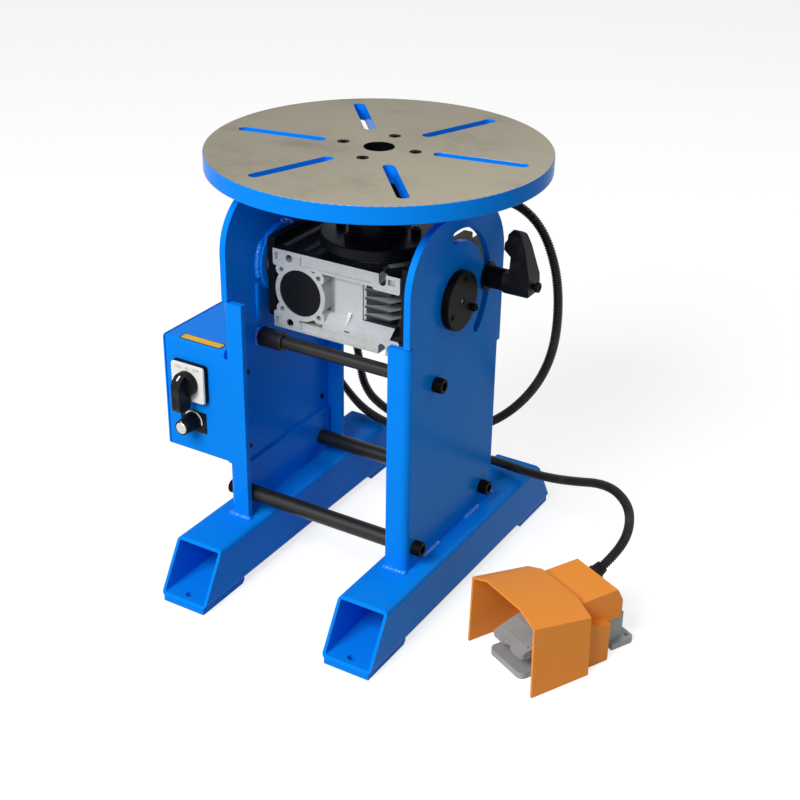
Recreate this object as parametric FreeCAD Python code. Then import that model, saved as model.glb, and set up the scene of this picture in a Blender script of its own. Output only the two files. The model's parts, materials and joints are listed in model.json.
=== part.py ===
import FreeCAD, Part
import math
import os

V = FreeCAD.Vector
X, Y, Z = V(1, 0, 0), V(0, 1, 0), V(0, 0, 1)

# Table: a round plate that turns on the worm gearbox's output shaft.
TABLE_D = 400.0
TABLE_T = 21.0
TABLE_TOP_Z = 531.0
TABLE_BORE_D = 36.0
TABLE_EDGE = 1.0
TABLE_CLEAR = 24.0
SLOT_W = 14.0
SLOT_R_IN = 66.0
SLOT_R_OUT = 177.0
SLOT_COUNT = 6
SLOT_PHASE = 10.0
HUB_BOLT_PCD = 90.0
HUB_BOLT_COUNT = 4
HUB_BOLT_PHASE = 7.5
HUB_BOLT_D = 8.0
HUB_BOLT_HEAD_D = 13.0
HUB_BOLT_HEAD_T = 8.5

# Tilt axis: runs along X through both cheeks. The table's axis stands behind it.
TILT_DROP = 146.0
TILT_Y = -16.0
TILT_Z = TABLE_TOP_Z - TILT_DROP
SPIN_Y = 22.0

# Feet: two square tubes with slanting ends, on a pad at each end.
RAIL_X = 116.5
RAIL_W = 66.0
RAIL_H = 65.0
RAIL_WALL = 4.0
RAIL_CORNER = 6.0
RAIL_TOP_LEN = 386.0
RAIL_BOTTOM_LEN = 463.0
PAD_T = 8.0
PAD_LEN = 84.0
PAD_INSET = 3.0
ANCHOR_D = 11.0
ANCHOR_INSET = 14.5
ANCHOR_SPAN_Y = RAIL_BOTTOM_LEN - 2 * ANCHOR_INSET

# Cheeks: bent plates that stand on the feet.
CHEEK_OUT_X = 126.5
CHEEK_T = 8.0
CHEEK_FRONT_Y = -118.0
CHEEK_REAR_Y = 100.0
CHEEK_TOP_Z = TABLE_TOP_Z - TABLE_T - TABLE_CLEAR
CHEEK_FRONT_R = 68.0
CHEEK_REAR_R = 80.0
CHEEK_BEND_R = 9.0
FLANGE_W = 27.5
FRONT_FLANGE_TOP = CHEEK_TOP_Z - 126.0
REAR_FLANGE_TOP = CHEEK_TOP_Z - 196.0
RELIEF = 1.5
STRIP_T = 4.0
STRIP_TOP = 135.0
STRIP_GAP = 4.0

# Arc slot in the right cheek, and the clamp that slides in it.
ARC_R = 75.0
ARC_W = 15.0
STUD_ANGLE = 2.3
TILT_BACK = 45.0
TILT_FORWARD = 90.0
ARC_SPARE = 2.0
STUD_D = 12.0

# Trunnions.
SHAFT_D = 60.0
BUSH_WALL = 2.5
SPIGOT_IN_PLATE_D = 40.0
RUN_GAP = 0.05
RING_D = 84.0
RING_T = 6.5
DISC_D = 70.0
DISC_T = 9.0
DISC_GAP = 0.4
DISC_HOLE_D = 7.0
DISC_SCREW_R = 26.5
DISC_SCREW_D = 6.0
DISC_SCREW_DEPTH = 16.0
DISC_SCREW_ANGLES = (82.0, 206.0, 326.0)
DISC_SCREW_SUNK = (True, True, False)

# Tie bars between the cheeks: (Y, Z) of each.
BAR_D = 20.0
UPPER_BAR_D = 16.0
FRONT_BAR = (-98.0, 99.0)
REAR_BAR = (68.0, 99.0)
UPPER_BAR = (-58.0, TILT_Z - 89.0)
COLLAR_D = 24.0
COLLAR_LEN = 34.0
COLLAR_GAP = 4.0
BAR_SCREW_D = 12.0
BAR_SCREW_DEPTH = 25.0
HEAD_RATIO = 1.5
HOLE_PLAY = 0.5

# Worm gearbox, size 63: the worm runs along Y, the output along Z.
CENTRE_DISTANCE = 63.0
BOX_LEFT_X = -101.0
BOX_RIGHT_X = 73.0
BOX_FRONT_Y = -50.0
BOX_REAR_Y = 94.0
BOX_LOW_Z = TILT_Z - 75.0
BOX_HIGH_Z = TILT_Z + 25.0
WORM_Z = TILT_Z - 25.0
BOX_WALL = 6.0
OUTPUT_BOSS_D = 108.0
OUTPUT_BOSS_H = 6.0
LOW_BOSS_H = 3.0
CAP_D = 58.0
LOW_LEDGE_H = 21.0
HIGH_LEDGE_H = 18.0
LEDGE_D = 9.0
PANEL_D = 1.8
RECESS_D = 12.0
PAD_W = 38.0
PAD_LEFT_X = -21.5
FOOT_T = 14.0
FOOT_H = 21.0
FOOT_W = 36.0
FOOT_HOLE_D = 9.5
FOOT_HOLE_INSET = 23.0
FOOT_HOLE_RISE = 9.0
POCKET_D = 5.0
LOBE_X = 26.0
LOBE_Z = 25.0
LOBE_R = 8.0
LOBE_HOLE_D = 6.0
FIN_COUNT = 4
FIN_T = 2.4
FIN_PITCH = 10.5
FIN_TOP_DROP = 30.0
FIN_LEFT_X = 19.5
FIN_END_X = 60.5
FIN_CLIP = (6.5, 10.5)
WHEEL_D = 96.0
WHEEL_T = 34.0
WORM_D = 30.0
WORM_LEN = 60.0
OUT_BEARING_D = 75.0
OUT_BEARING_T = 10.0
OUT_BEARING_Z = 20.0
WORM_BEARING_D = 52.0
WORM_BEARING_T = 14.0
WORM_JOURNAL_D = 25.0
MESH_GAP = 0.7
HOUSING_D = 138.0
HOUSING_T = 14.0
HOUSING_SCREW_D = 8.0
HOUSING_SCREW_COUNT = 6
HUB_D = 112.0
HUB_NECK_D = 70.0
HUB_FLANGE_T = 13.0
HUB_GAP = 0.5
SPINDLE_D = 45.0
SPINDLE_BORE_D = 16.0
COVER_D = 92.0
COVER_T = 3.5

# Cradle: side plates and a rear plate that carry the gearbox.
SIDE_T = 10.0
SIDE_FRONT_Y = -46.0
SIDE_LOW_Z = BOX_LOW_Z + 10.0
SIDE_HIGH_Z = BOX_HIGH_Z + 11.0
SIDE_CORNER = 4.0
EAR_END_Y = 152.0
EAR_LOW_Z = WORM_Z - 20.0
EAR_HIGH_Z = WORM_Z + 44.0
EAR_CORNER = 16.0
REAR_T = 8.0
CRADLE_SCREW_D = 8.0
EDGE_SCREW_D = 4.0

# Motor behind the gearbox.
SPIGOT_D = 62.0
MOTOR_D = 70.0
MOTOR_LEN = 128.0
MOTOR_RIM = 3.0
END_CAP_LEN = 10.0
END_CAP_R = 6.0
MOTOR_BELL = 22.0
TERMINAL_W = 50.0
TERMINAL_L = 58.0
TERMINAL_H = 30.0
TERMINAL_LID = 5.0

# Clamp lever.
SPACER_D = 26.0
WASHER_D = 34.0
WASHER_T = 3.0
SPACER_END_X = 152.0
LEVER_HUB_R = 15.0
LEVER_END_X = 187.0
LEVER_REACH = 63.0
LEVER_LIFT = 3.0

# Control box on the left cheek.
CTRL_OUT_X = 218.5
CTRL_LOW_Z = 145.0
CTRL_HIGH_Z = 296.0
CTRL_REAR_Y = 90.0
CTRL_WALL = 2.0
COVER_SEAM = 1.5
SWITCH_X = -177.0
SWITCH_Z = 244.5
SWITCH_SIZE = 50.0
SWITCH_DEPTH = 7.0
DIAL_T = 2.0
SWITCH_BLOCK_W = 38.0
SWITCH_BLOCK_L = 42.0
SWITCH_NECK_D = 22.0
SWITCH_SHAFT_ROOM = 30.0
SWITCH_HUB_D = 32.0
SWITCH_HUB_T = 9.0
SWITCH_GRIP_W = 13.0
KNOB_Z = 189.5
KNOB_D = 24.0
KNOB_SKIRT_T = 3.0
KNOB_GRIP_LEN = 20.0
SCALE_W = 39.0
SCALE_H = 28.0
SCALE_T = 1.5
PANEL_SHAFT_D = 6.0
CTRL_SCREW_D = 6.0

# Foot pedal: its own frame is U across and V from front to back, turned on the floor.
PEDAL_X = 205.4
PEDAL_Y = -103.3
PEDAL_YAW = -27.0
GUARD_W = 125.0
GUARD_LEN = 80.0
GUARD_TOP = 103.0
GUARD_DROP = 13.0
GUARD_SHOULDER_W = 27.0
GUARD_SHOULDER_DROP = 12.0
GUARD_T = 3.0
GUARD_DRAFT = 3.0
REAR_BOX_W = 75.0
REAR_BOX_END = 150.0
REAR_BOX_TOP = 82.0
REAR_BOX_LOW = 42.0
BUMP_W = 104.0
BUMP_END = 120.0
BUMP_TOP = 58.0
BASE_W = 62.0
BASE_T = 8.0
BASE_FRONT = 7.5
BASE_END = 166.0
CASTING_W = 69.0
CASTING_FRONT = 92.0
CASTING_END = 154.0
TREADLE_W = 56.0
TREADLE_T = 6.0
TREADLE_FRONT = 10.0
TREADLE_PIVOT_V = 86.0
TREADLE_PIVOT_H = 56.0
TREADLE_SLOPE = 18.0
RIB_H = 2.0
RIB_PITCH = 6.5
PIN_D = 6.0

# Conduits.
CONDUIT_D = 12.0
GLAND_D = 18.0
GLAND_LEN = 16.0


def box(x0, y0, z0, x1, y1, z1):
    return Part.makeBox(x1 - x0, y1 - y0, z1 - z0, V(x0, y0, z0))


def rod(start, direction, diameter, length):
    return Part.makeCylinder(diameter / 2, length, start, direction)


def tube(start, direction, outer, inner, length):
    return rod(start, direction, outer, length).cut(rod(start, direction, inner, length))


def hexagon(start, direction, flats, length):
    """A hexagonal prism of the given width across flats."""
    corner = flats / math.sqrt(3)
    points = [V(corner * math.cos(math.radians(60 * i)), corner * math.sin(math.radians(60 * i)), 0)
              for i in range(7)]
    prism = Part.Face(Part.makePolygon(points)).extrude(V(0, 0, length))
    prism.Placement = FreeCAD.Placement(start, FreeCAD.Rotation(Z, direction))
    return prism


def plate(points, along):
    """A prism on a closed outline of corner points."""
    return Part.Face(Part.makePolygon(points + [points[0]])).extrude(along)


def fuse(shapes):
    solid = shapes[0]
    for other in shapes[1:]:
        solid = solid.fuse(other)
    return solid.removeSplitter()


def group(shapes):
    return Part.makeCompound(shapes)


def mirrored(shape):
    return shape.mirror(V(0, 0, 0), X)


def edges_along(shape, direction, accept=lambda centre: True):
    """Straight edges parallel to a direction whose middle is accepted."""
    found = []
    for edge in shape.Edges:
        if edge.Curve.TypeId != "Part::GeomLine":
            continue
        run = edge.Vertexes[-1].Point - edge.Vertexes[0].Point
        if run.Length > 0 and abs(run.normalize().dot(direction)) > 0.999 and accept(edge.CenterOfMass):
            found.append(edge)
    return found


def cap_screw(seat, direction, diameter, length):
    """A socket cap screw: the head stands on the seat, away from the thread's direction."""
    head_d = diameter * HEAD_RATIO
    away = direction * -1
    head = rod(seat, away, head_d, diameter)
    head = head.makeChamfer(diameter * 0.08, [e for e in head.Edges
                                              if abs((e.CenterOfMass - seat).dot(away) - diameter) < 0.01
                                              and e.Curve.TypeId == "Part::GeomCircle"])
    socket = hexagon(seat + away * (diameter * 0.5), away, diameter * 0.8, diameter)
    return fuse([head.cut(socket), rod(seat, direction, diameter, length)])


def ring_points(radius, count, phase):
    return [(radius * math.cos(math.radians(phase + 360.0 * i / count)),
             radius * math.sin(math.radians(phase + 360.0 * i / count))) for i in range(count)]


CHEEK_IN_X = CHEEK_OUT_X - CHEEK_T
RAIL_TOP_Z = PAD_T + RAIL_H
FLANGE_EDGE_X = CHEEK_OUT_X - FLANGE_W
RING_FACE_X = CHEEK_IN_X - RING_T
TABLE_LOW_Z = TABLE_TOP_Z - TABLE_T
WORM_X = -CENTRE_DISTANCE
LEFT_SIDE_X = BOX_LEFT_X - SIDE_T
RIGHT_SIDE_X = BOX_RIGHT_X + SIDE_T
REAR_PLATE_Y = BOX_REAR_Y + REAR_T


# ---------------------------------------------------------------- feet

def rail(side):
    """A square tube along Y, cut on the slant at both ends so that the bottom wall is the longer."""
    low, high = PAD_T, RAIL_TOP_Z
    x0, x1 = RAIL_X - RAIL_W / 2, RAIL_X + RAIL_W / 2
    half = RAIL_BOTTOM_LEN / 2
    outer = box(x0, -half, low, x1, half, high)
    outer = outer.makeFillet(RAIL_CORNER, edges_along(outer, Y))
    inner = box(x0 + RAIL_WALL, -half - 1, low + RAIL_WALL, x1 - RAIL_WALL, half + 1, high - RAIL_WALL)
    inner = inner.makeFillet(RAIL_CORNER - RAIL_WALL, edges_along(inner, Y))
    hollow = outer.cut(inner)
    top = RAIL_TOP_LEN / 2
    slant = plate([V(x0, half, low), V(x0, top, high), V(x0, half, high)], V(RAIL_W, 0, 0))
    hollow = hollow.cut(slant).cut(slant.mirror(V(0, 0, 0), Y))
    for end in (-1, 1):
        hollow = hollow.cut(rod(V(RAIL_X, end * ANCHOR_SPAN_Y / 2, low - 1), Z, ANCHOR_D, RAIL_WALL + 2))
    return hollow if side > 0 else mirrored(hollow)


def foot_pads():
    """Four flat pads welded under the ends of the feet, drilled with the anchor holes."""
    pads = []
    for side in (-1, 1):
        for end in (-1, 1):
            x = side * RAIL_X
            half = RAIL_W / 2 - PAD_INSET
            y0, y1 = sorted((end * (RAIL_BOTTOM_LEN / 2 - PAD_LEN), end * (RAIL_BOTTOM_LEN / 2 - 1)))
            pad = box(x - half, y0, 0, x + half, y1, PAD_T)
            inner_edge = edges_along(pad, X, lambda c: c.z < 1 and abs(c.y) < RAIL_BOTTOM_LEN / 2 - PAD_LEN + 1)
            pad = pad.makeChamfer(PAD_T / 2, inner_edge)
            pads.append(pad.cut(rod(V(x, end * ANCHOR_SPAN_Y / 2, -1), Z, ANCHOR_D, PAD_T + 2)))
    return group(pads)


# ---------------------------------------------------------------- cheeks

def arc_edge(centre_y, centre_z, radius, start, end):
    """An arc in the YZ plane; angles in degrees, 0 along +Y and 90 along +Z."""
    def point(angle):
        turn = math.radians(angle)
        return V(0, centre_y + radius * math.cos(turn), centre_z + radius * math.sin(turn))
    return Part.Arc(point(start), point((start + end) / 2), point(end)).toShape()


def cheek_outline():
    """The cheek's side view: square at the foot, with a large radius at each top corner."""
    front, rear, foot, top = CHEEK_FRONT_Y, CHEEK_REAR_Y, RAIL_TOP_Z, CHEEK_TOP_Z
    front_arc = arc_edge(front + CHEEK_FRONT_R, top - CHEEK_FRONT_R, CHEEK_FRONT_R, 90, 180)
    rear_arc = arc_edge(rear - CHEEK_REAR_R, top - CHEEK_REAR_R, CHEEK_REAR_R, 0, 90)
    corners = [V(0, front, top - CHEEK_FRONT_R), V(0, front, foot), V(0, rear, foot), V(0, rear, top - CHEEK_REAR_R)]
    runs = [Part.LineSegment(a, b).toShape() for a, b in zip(corners, corners[1:])]
    bridge = Part.LineSegment(V(0, rear - CHEEK_REAR_R, top), V(0, front + CHEEK_FRONT_R, top)).toShape()
    return Part.Face(Part.Wire(Part.__sortEdges__(runs + [rear_arc, bridge, front_arc])))


def arc_slot(radius, width, start, end, x0, x1):
    """A curved slot about the tilt axis, as a solid to cut away."""
    edges = [arc_edge(TILT_Y, TILT_Z, radius + width / 2, start, end),
             arc_edge(TILT_Y, TILT_Z, radius - width / 2, start, end)]
    for angle, turn in ((start, -1), (end, 1)):
        rad = math.radians(angle)
        cy, cz = TILT_Y + radius * math.cos(rad), TILT_Z + radius * math.sin(rad)
        a, b = (angle, angle + 180) if turn > 0 else (angle - 180, angle)
        edges.append(arc_edge(cy, cz, width / 2, a, b))
    face = Part.Face(Part.Wire(Part.__sortEdges__(edges)))
    solid = face.extrude(V(x1 - x0, 0, 0))
    solid.translate(V(x0, 0, 0))
    return solid


def cheek(side):
    """A bent plate: side wall, an inward flange in front and a lower one behind, modelled on the right."""
    wall = cheek_outline().extrude(V(CHEEK_T, 0, 0))
    wall.translate(V(CHEEK_IN_X, 0, 0))
    bends = []
    r = CHEEK_BEND_R
    for edge_y, top, inward in ((CHEEK_FRONT_Y, FRONT_FLANGE_TOP, 1), (CHEEK_REAR_Y, REAR_FLANGE_TOP, -1)):
        high = top - RAIL_TOP_Z
        y0, y1 = sorted((edge_y, edge_y + inward * CHEEK_T))
        bends.append(box(FLANGE_EDGE_X, y0, RAIL_TOP_Z, CHEEK_OUT_X - r, y1, top))
        centre = V(CHEEK_OUT_X - r, edge_y + inward * r, RAIL_TOP_Z)
        quarter_y = sorted((edge_y, centre.y))
        quarter = tube(centre, Z, 2 * r, 2 * (r - CHEEK_T), high)
        bends.append(quarter.common(box(centre.x, quarter_y[0], RAIL_TOP_Z, CHEEK_OUT_X, quarter_y[1], top)))
        cut_y = sorted((edge_y - inward, centre.y))
        wall = wall.cut(box(CHEEK_IN_X - 1, cut_y[0], RAIL_TOP_Z - 1, CHEEK_OUT_X + 1, cut_y[1], top + RELIEF))
    body = fuse([wall] + bends)
    body = body.cut(rod(V(CHEEK_IN_X - 1, TILT_Y, TILT_Z), X, SHAFT_D + 2 * BUSH_WALL, CHEEK_T + 2))
    for bar in (FRONT_BAR, REAR_BAR, UPPER_BAR):
        body = body.cut(rod(V(CHEEK_IN_X - 1, *bar), X, BAR_SCREW_D + 2 * HOLE_PLAY, CHEEK_T + 2))
    if side > 0:
        return body.cut(arc_slot(ARC_R, ARC_W, STUD_ANGLE - TILT_BACK - ARC_SPARE,
                                 STUD_ANGLE + TILT_FORWARD + ARC_SPARE, CHEEK_IN_X - 1, CHEEK_OUT_X + 1))
    sink = Part.makeCone(BAR_SCREW_D / 2 + HOLE_PLAY, BAR_SCREW_D + HOLE_PLAY, CHEEK_T,
                         V(CHEEK_IN_X, *UPPER_BAR), X)
    body = body.cut(sink)
    for seat in ctrl_screw_seats():
        body = body.cut(rod(V(CHEEK_IN_X - 1, *seat), X, CTRL_SCREW_D + 2 * HOLE_PLAY, CHEEK_T + 2))
    return mirrored(body)


def base_strips():
    """A flat strip welded inside the foot of each cheek, behind the lower tie bars."""
    y0 = CHEEK_FRONT_Y + CHEEK_T + STRIP_GAP
    y1 = CHEEK_REAR_Y - CHEEK_T - STRIP_GAP
    strip = box(CHEEK_IN_X - STRIP_T, y0, RAIL_TOP_Z, CHEEK_IN_X, y1, STRIP_TOP)
    for bar in (FRONT_BAR, REAR_BAR):
        strip = strip.cut(rod(V(CHEEK_IN_X - STRIP_T - 1, *bar), X, BAR_SCREW_D + 2 * HOLE_PLAY, STRIP_T + 2))
    return group([strip, mirrored(strip)])


# ---------------------------------------------------------------- tie bars

def tie_bar(place, diameter, end_x, left_end_x):
    """A turned bar along X with a tapped hole in each end."""
    bar = rod(V(-left_end_x, *place), X, diameter, end_x + left_end_x)
    for x, way in ((-left_end_x, 1), (end_x, -1)):
        bar = bar.cut(rod(V(x, *place), X * way, min(BAR_SCREW_D, diameter * 0.65), BAR_SCREW_DEPTH))
    return bar.makeChamfer(0.8, [e for e in bar.Edges if e.Curve.TypeId == "Part::GeomCircle"
                                 and abs(e.Curve.Radius - diameter / 2) < 0.01])


def tie_bar_screws():
    """Socket cap screws on the cheeks' outer faces; one is countersunk behind the control box."""
    screws = []
    for bar, end_x in ((FRONT_BAR, CHEEK_IN_X - STRIP_T), (REAR_BAR, CHEEK_IN_X - STRIP_T),
                       (UPPER_BAR, CHEEK_IN_X)):
        thread = min(BAR_SCREW_D, (UPPER_BAR_D if bar is UPPER_BAR else BAR_D) * 0.65)
        length = CHEEK_OUT_X - end_x + BAR_SCREW_DEPTH - 3
        screw = fuse([cap_screw(V(CHEEK_OUT_X, *bar), X * -1, BAR_SCREW_D, CHEEK_OUT_X - end_x),
                      rod(V(CHEEK_OUT_X, *bar), X * -1, thread, length)])
        screws.append(screw)
        if bar is not UPPER_BAR:
            screws.append(mirrored(screw))
    thread = min(BAR_SCREW_D, UPPER_BAR_D * 0.65)
    sunk = fuse([Part.makeCone(BAR_SCREW_D / 2, BAR_SCREW_D, CHEEK_T, V(CHEEK_IN_X, *UPPER_BAR), X),
                 rod(V(CHEEK_OUT_X, *UPPER_BAR), X * -1, thread, CHEEK_T + BAR_SCREW_DEPTH - 3)])
    sunk = sunk.cut(hexagon(V(CHEEK_OUT_X + 1, *UPPER_BAR), X * -1, BAR_SCREW_D * 0.6, CHEEK_T))
    screws.append(mirrored(sunk))
    return group(screws)


def bar_collar():
    """A sleeve over the left end of the upper bar."""
    start = V(-CHEEK_IN_X + COLLAR_GAP, *UPPER_BAR)
    sleeve = tube(start, X, COLLAR_D, UPPER_BAR_D, COLLAR_LEN)
    return sleeve.makeChamfer(1.0, [e for e in sleeve.Edges if e.Curve.TypeId == "Part::GeomCircle"
                                    and e.Curve.Radius > COLLAR_D / 2 - 0.1])


# ---------------------------------------------------------------- trunnions

def bearing_ring(side):
    """A ring welded to the cheek's inner face round the trunnion bush."""
    inner = SHAFT_D + 2 * BUSH_WALL
    ring = tube(V(RING_FACE_X, TILT_Y, TILT_Z), X, RING_D, inner, RING_T)
    ring = ring.makeFillet(1.5, [e for e in ring.Edges if e.Curve.TypeId == "Part::GeomCircle"
                                 and e.Curve.Radius > RING_D / 2 - 0.1 and e.CenterOfMass.x < RING_FACE_X + 1])
    return ring if side > 0 else mirrored(ring)


def stop_rib():
    """A short upright rib on the left cheek, below the bearing ring."""
    width, height, stand = 6.0, 46.0, 4.0
    y = TILT_Y - RING_D / 2 - width / 2
    top = TILT_Z - 20.0
    return mirrored(box(CHEEK_IN_X - stand, y - width / 2, top - height, CHEEK_IN_X, y + width / 2, top))


def trunnion_bush(side):
    """A plain bronze bush through the ring and the cheek."""
    inner = SHAFT_D + 2 * RUN_GAP
    bush = tube(V(RING_FACE_X, TILT_Y, TILT_Z), X, SHAFT_D + 2 * BUSH_WALL, inner, RING_T + CHEEK_T)
    return bush if side > 0 else mirrored(bush)


def disc_screw_places():
    return [(TILT_Y + DISC_SCREW_R * math.cos(math.radians(a)), TILT_Z + DISC_SCREW_R * math.sin(math.radians(a)))
            for a in DISC_SCREW_ANGLES]


def trunnion_shaft(side, plate_face_x):
    """A stub shaft that runs in the bush, with a spigot fixed in the cradle's side plate."""
    end_x = CHEEK_OUT_X + DISC_GAP
    shaft = fuse([rod(V(plate_face_x, TILT_Y, TILT_Z), X, SHAFT_D, end_x - plate_face_x),
                  rod(V(plate_face_x - SIDE_T, TILT_Y, TILT_Z), X, SPIGOT_IN_PLATE_D, SIDE_T),
                  rod(V(end_x, TILT_Y, TILT_Z), X, DISC_HOLE_D - 2 * HOLE_PLAY, DISC_T - 1.5)])
    for y, z in disc_screw_places():
        shaft = shaft.cut(rod(V(end_x - DISC_SCREW_DEPTH, y, z), X, DISC_SCREW_D, DISC_SCREW_DEPTH))
    return shaft if side > 0 else mirrored(shaft)


def trunnion_disc(side):
    """The round keeper outside the cheek, held by three screws, with a small hole at its centre."""
    start = V(CHEEK_OUT_X + DISC_GAP, TILT_Y, TILT_Z)
    disc = rod(start, X, DISC_D, DISC_T)
    disc = disc.makeFillet(1.2, [e for e in disc.Edges if e.Curve.TypeId == "Part::GeomCircle"
                                 and e.CenterOfMass.x > start.x + 1])
    disc = disc.cut(rod(start - X, X, DISC_HOLE_D, DISC_T + 2))
    face_x = start.x + DISC_T
    for (y, z), sunk in zip(disc_screw_places(), DISC_SCREW_SUNK):
        disc = disc.cut(rod(V(start.x - 1, y, z), X, DISC_SCREW_D, DISC_T + 2))
        if sunk:
            disc = disc.cut(rod(V(face_x - DISC_SCREW_D, y, z), X, DISC_SCREW_D * HEAD_RATIO + 2 * HOLE_PLAY,
                                DISC_SCREW_D + 1))
    return disc if side > 0 else mirrored(disc)


def disc_screws():
    """Three cap screws in each keeper disc: two sunk in the disc, one standing on its face."""
    face_x = CHEEK_OUT_X + DISC_GAP + DISC_T
    screws = []
    for (y, z), sunk in zip(disc_screw_places(), DISC_SCREW_SUNK):
        seat_x = face_x - DISC_SCREW_D if sunk else face_x
        reach = seat_x - CHEEK_OUT_X - DISC_GAP + DISC_SCREW_DEPTH - 2
        screws.append(cap_screw(V(seat_x, y, z), X * -1, DISC_SCREW_D, reach))
    return group(screws + [mirrored(s) for s in screws])


# ---------------------------------------------------------------- cradle

def side_plate(x0, trunnion_hole, ear=None):
    """A cradle side plate along the gearbox's end; the right one has an ear that reaches back past the stud."""
    solid = box(x0, SIDE_FRONT_Y, SIDE_LOW_Z, x0 + SIDE_T, REAR_PLATE_Y, SIDE_HIGH_Z)
    solid = solid.makeFillet(SIDE_CORNER, edges_along(solid, X))
    if ear:
        solid = fuse([solid, ear])
    for z in (SIDE_LOW_Z + 20, BOX_HIGH_Z - 20):
        solid = solid.cut(rod(V(x0 - 1, REAR_PLATE_Y - REAR_T / 2, z), X, EDGE_SCREW_D + 2 * HOLE_PLAY, SIDE_T + 2))
    return solid.cut(trunnion_hole)


def stud_ear():
    """The right plate's rearward ear."""
    ear = box(BOX_RIGHT_X, REAR_PLATE_Y - 20.0, EAR_LOW_Z, RIGHT_SIDE_X, EAR_END_Y, EAR_HIGH_Z)
    return ear.makeFillet(EAR_CORNER, edges_along(ear, X, lambda c: c.y > EAR_END_Y - 1))


def rear_plate():
    """The plate between the side plates that the gearbox's rear feet bolt to."""
    solid = box(BOX_LEFT_X, BOX_REAR_Y, BOX_LOW_Z + 2, BOX_RIGHT_X, REAR_PLATE_Y, BOX_HIGH_Z - 2)
    solid = solid.cut(rod(V(WORM_X, BOX_REAR_Y - 1, WORM_Z), Y, SPIGOT_D + 2 * HOLE_PLAY, REAR_T + 2))
    for x, z in foot_hole_places():
        solid = solid.cut(rod(V(x, BOX_REAR_Y - 1, z), Y, CRADLE_SCREW_D + 2 * HOLE_PLAY, REAR_T + 2))
    for x, way in ((BOX_LEFT_X, 1), (BOX_RIGHT_X, -1)):
        for z in (SIDE_LOW_Z + 20, BOX_HIGH_Z - 20):
            solid = solid.cut(rod(V(x, REAR_PLATE_Y - REAR_T / 2, z), X * way, EDGE_SCREW_D, 14))
    return solid


def cradle_screws():
    """Screws from the side plates into the rear plate, and from the rear plate into the gearbox feet."""
    screws = []
    for z in (SIDE_LOW_Z + 20, BOX_HIGH_Z - 20):
        y = REAR_PLATE_Y - REAR_T / 2
        screws.append(cap_screw(V(LEFT_SIDE_X, y, z), X, EDGE_SCREW_D, SIDE_T + 12))
        screws.append(cap_screw(V(RIGHT_SIDE_X, y, z), X * -1, EDGE_SCREW_D, SIDE_T + 12))
    for x, z in foot_hole_places():
        screws.append(cap_screw(V(x, REAR_PLATE_Y, z), Y * -1, CRADLE_SCREW_D, REAR_T + FOOT_T - 2))
    return group(screws)


# ---------------------------------------------------------------- gearbox

def foot_hole_places():
    xs = (BOX_LEFT_X + FOOT_HOLE_INSET, BOX_RIGHT_X - FOOT_HOLE_INSET)
    zs = (BOX_LOW_Z + FOOT_HOLE_RISE, BOX_HIGH_Z - FOOT_HOLE_RISE)
    return [(x, z) for x in xs for z in zs]


def worm_point(y):
    return V(WORM_X, y, WORM_Z)


def spin_point(z):
    return V(0, SPIN_Y, z)


def foot_block(x, z, y0, y1):
    """A corner foot of the casting."""
    block = box(x - FOOT_W / 2, y0, z - FOOT_H / 2, x + FOOT_W / 2, y1, z + FOOT_H / 2)
    return block.makeFillet(3.0, edges_along(block, Y))


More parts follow.
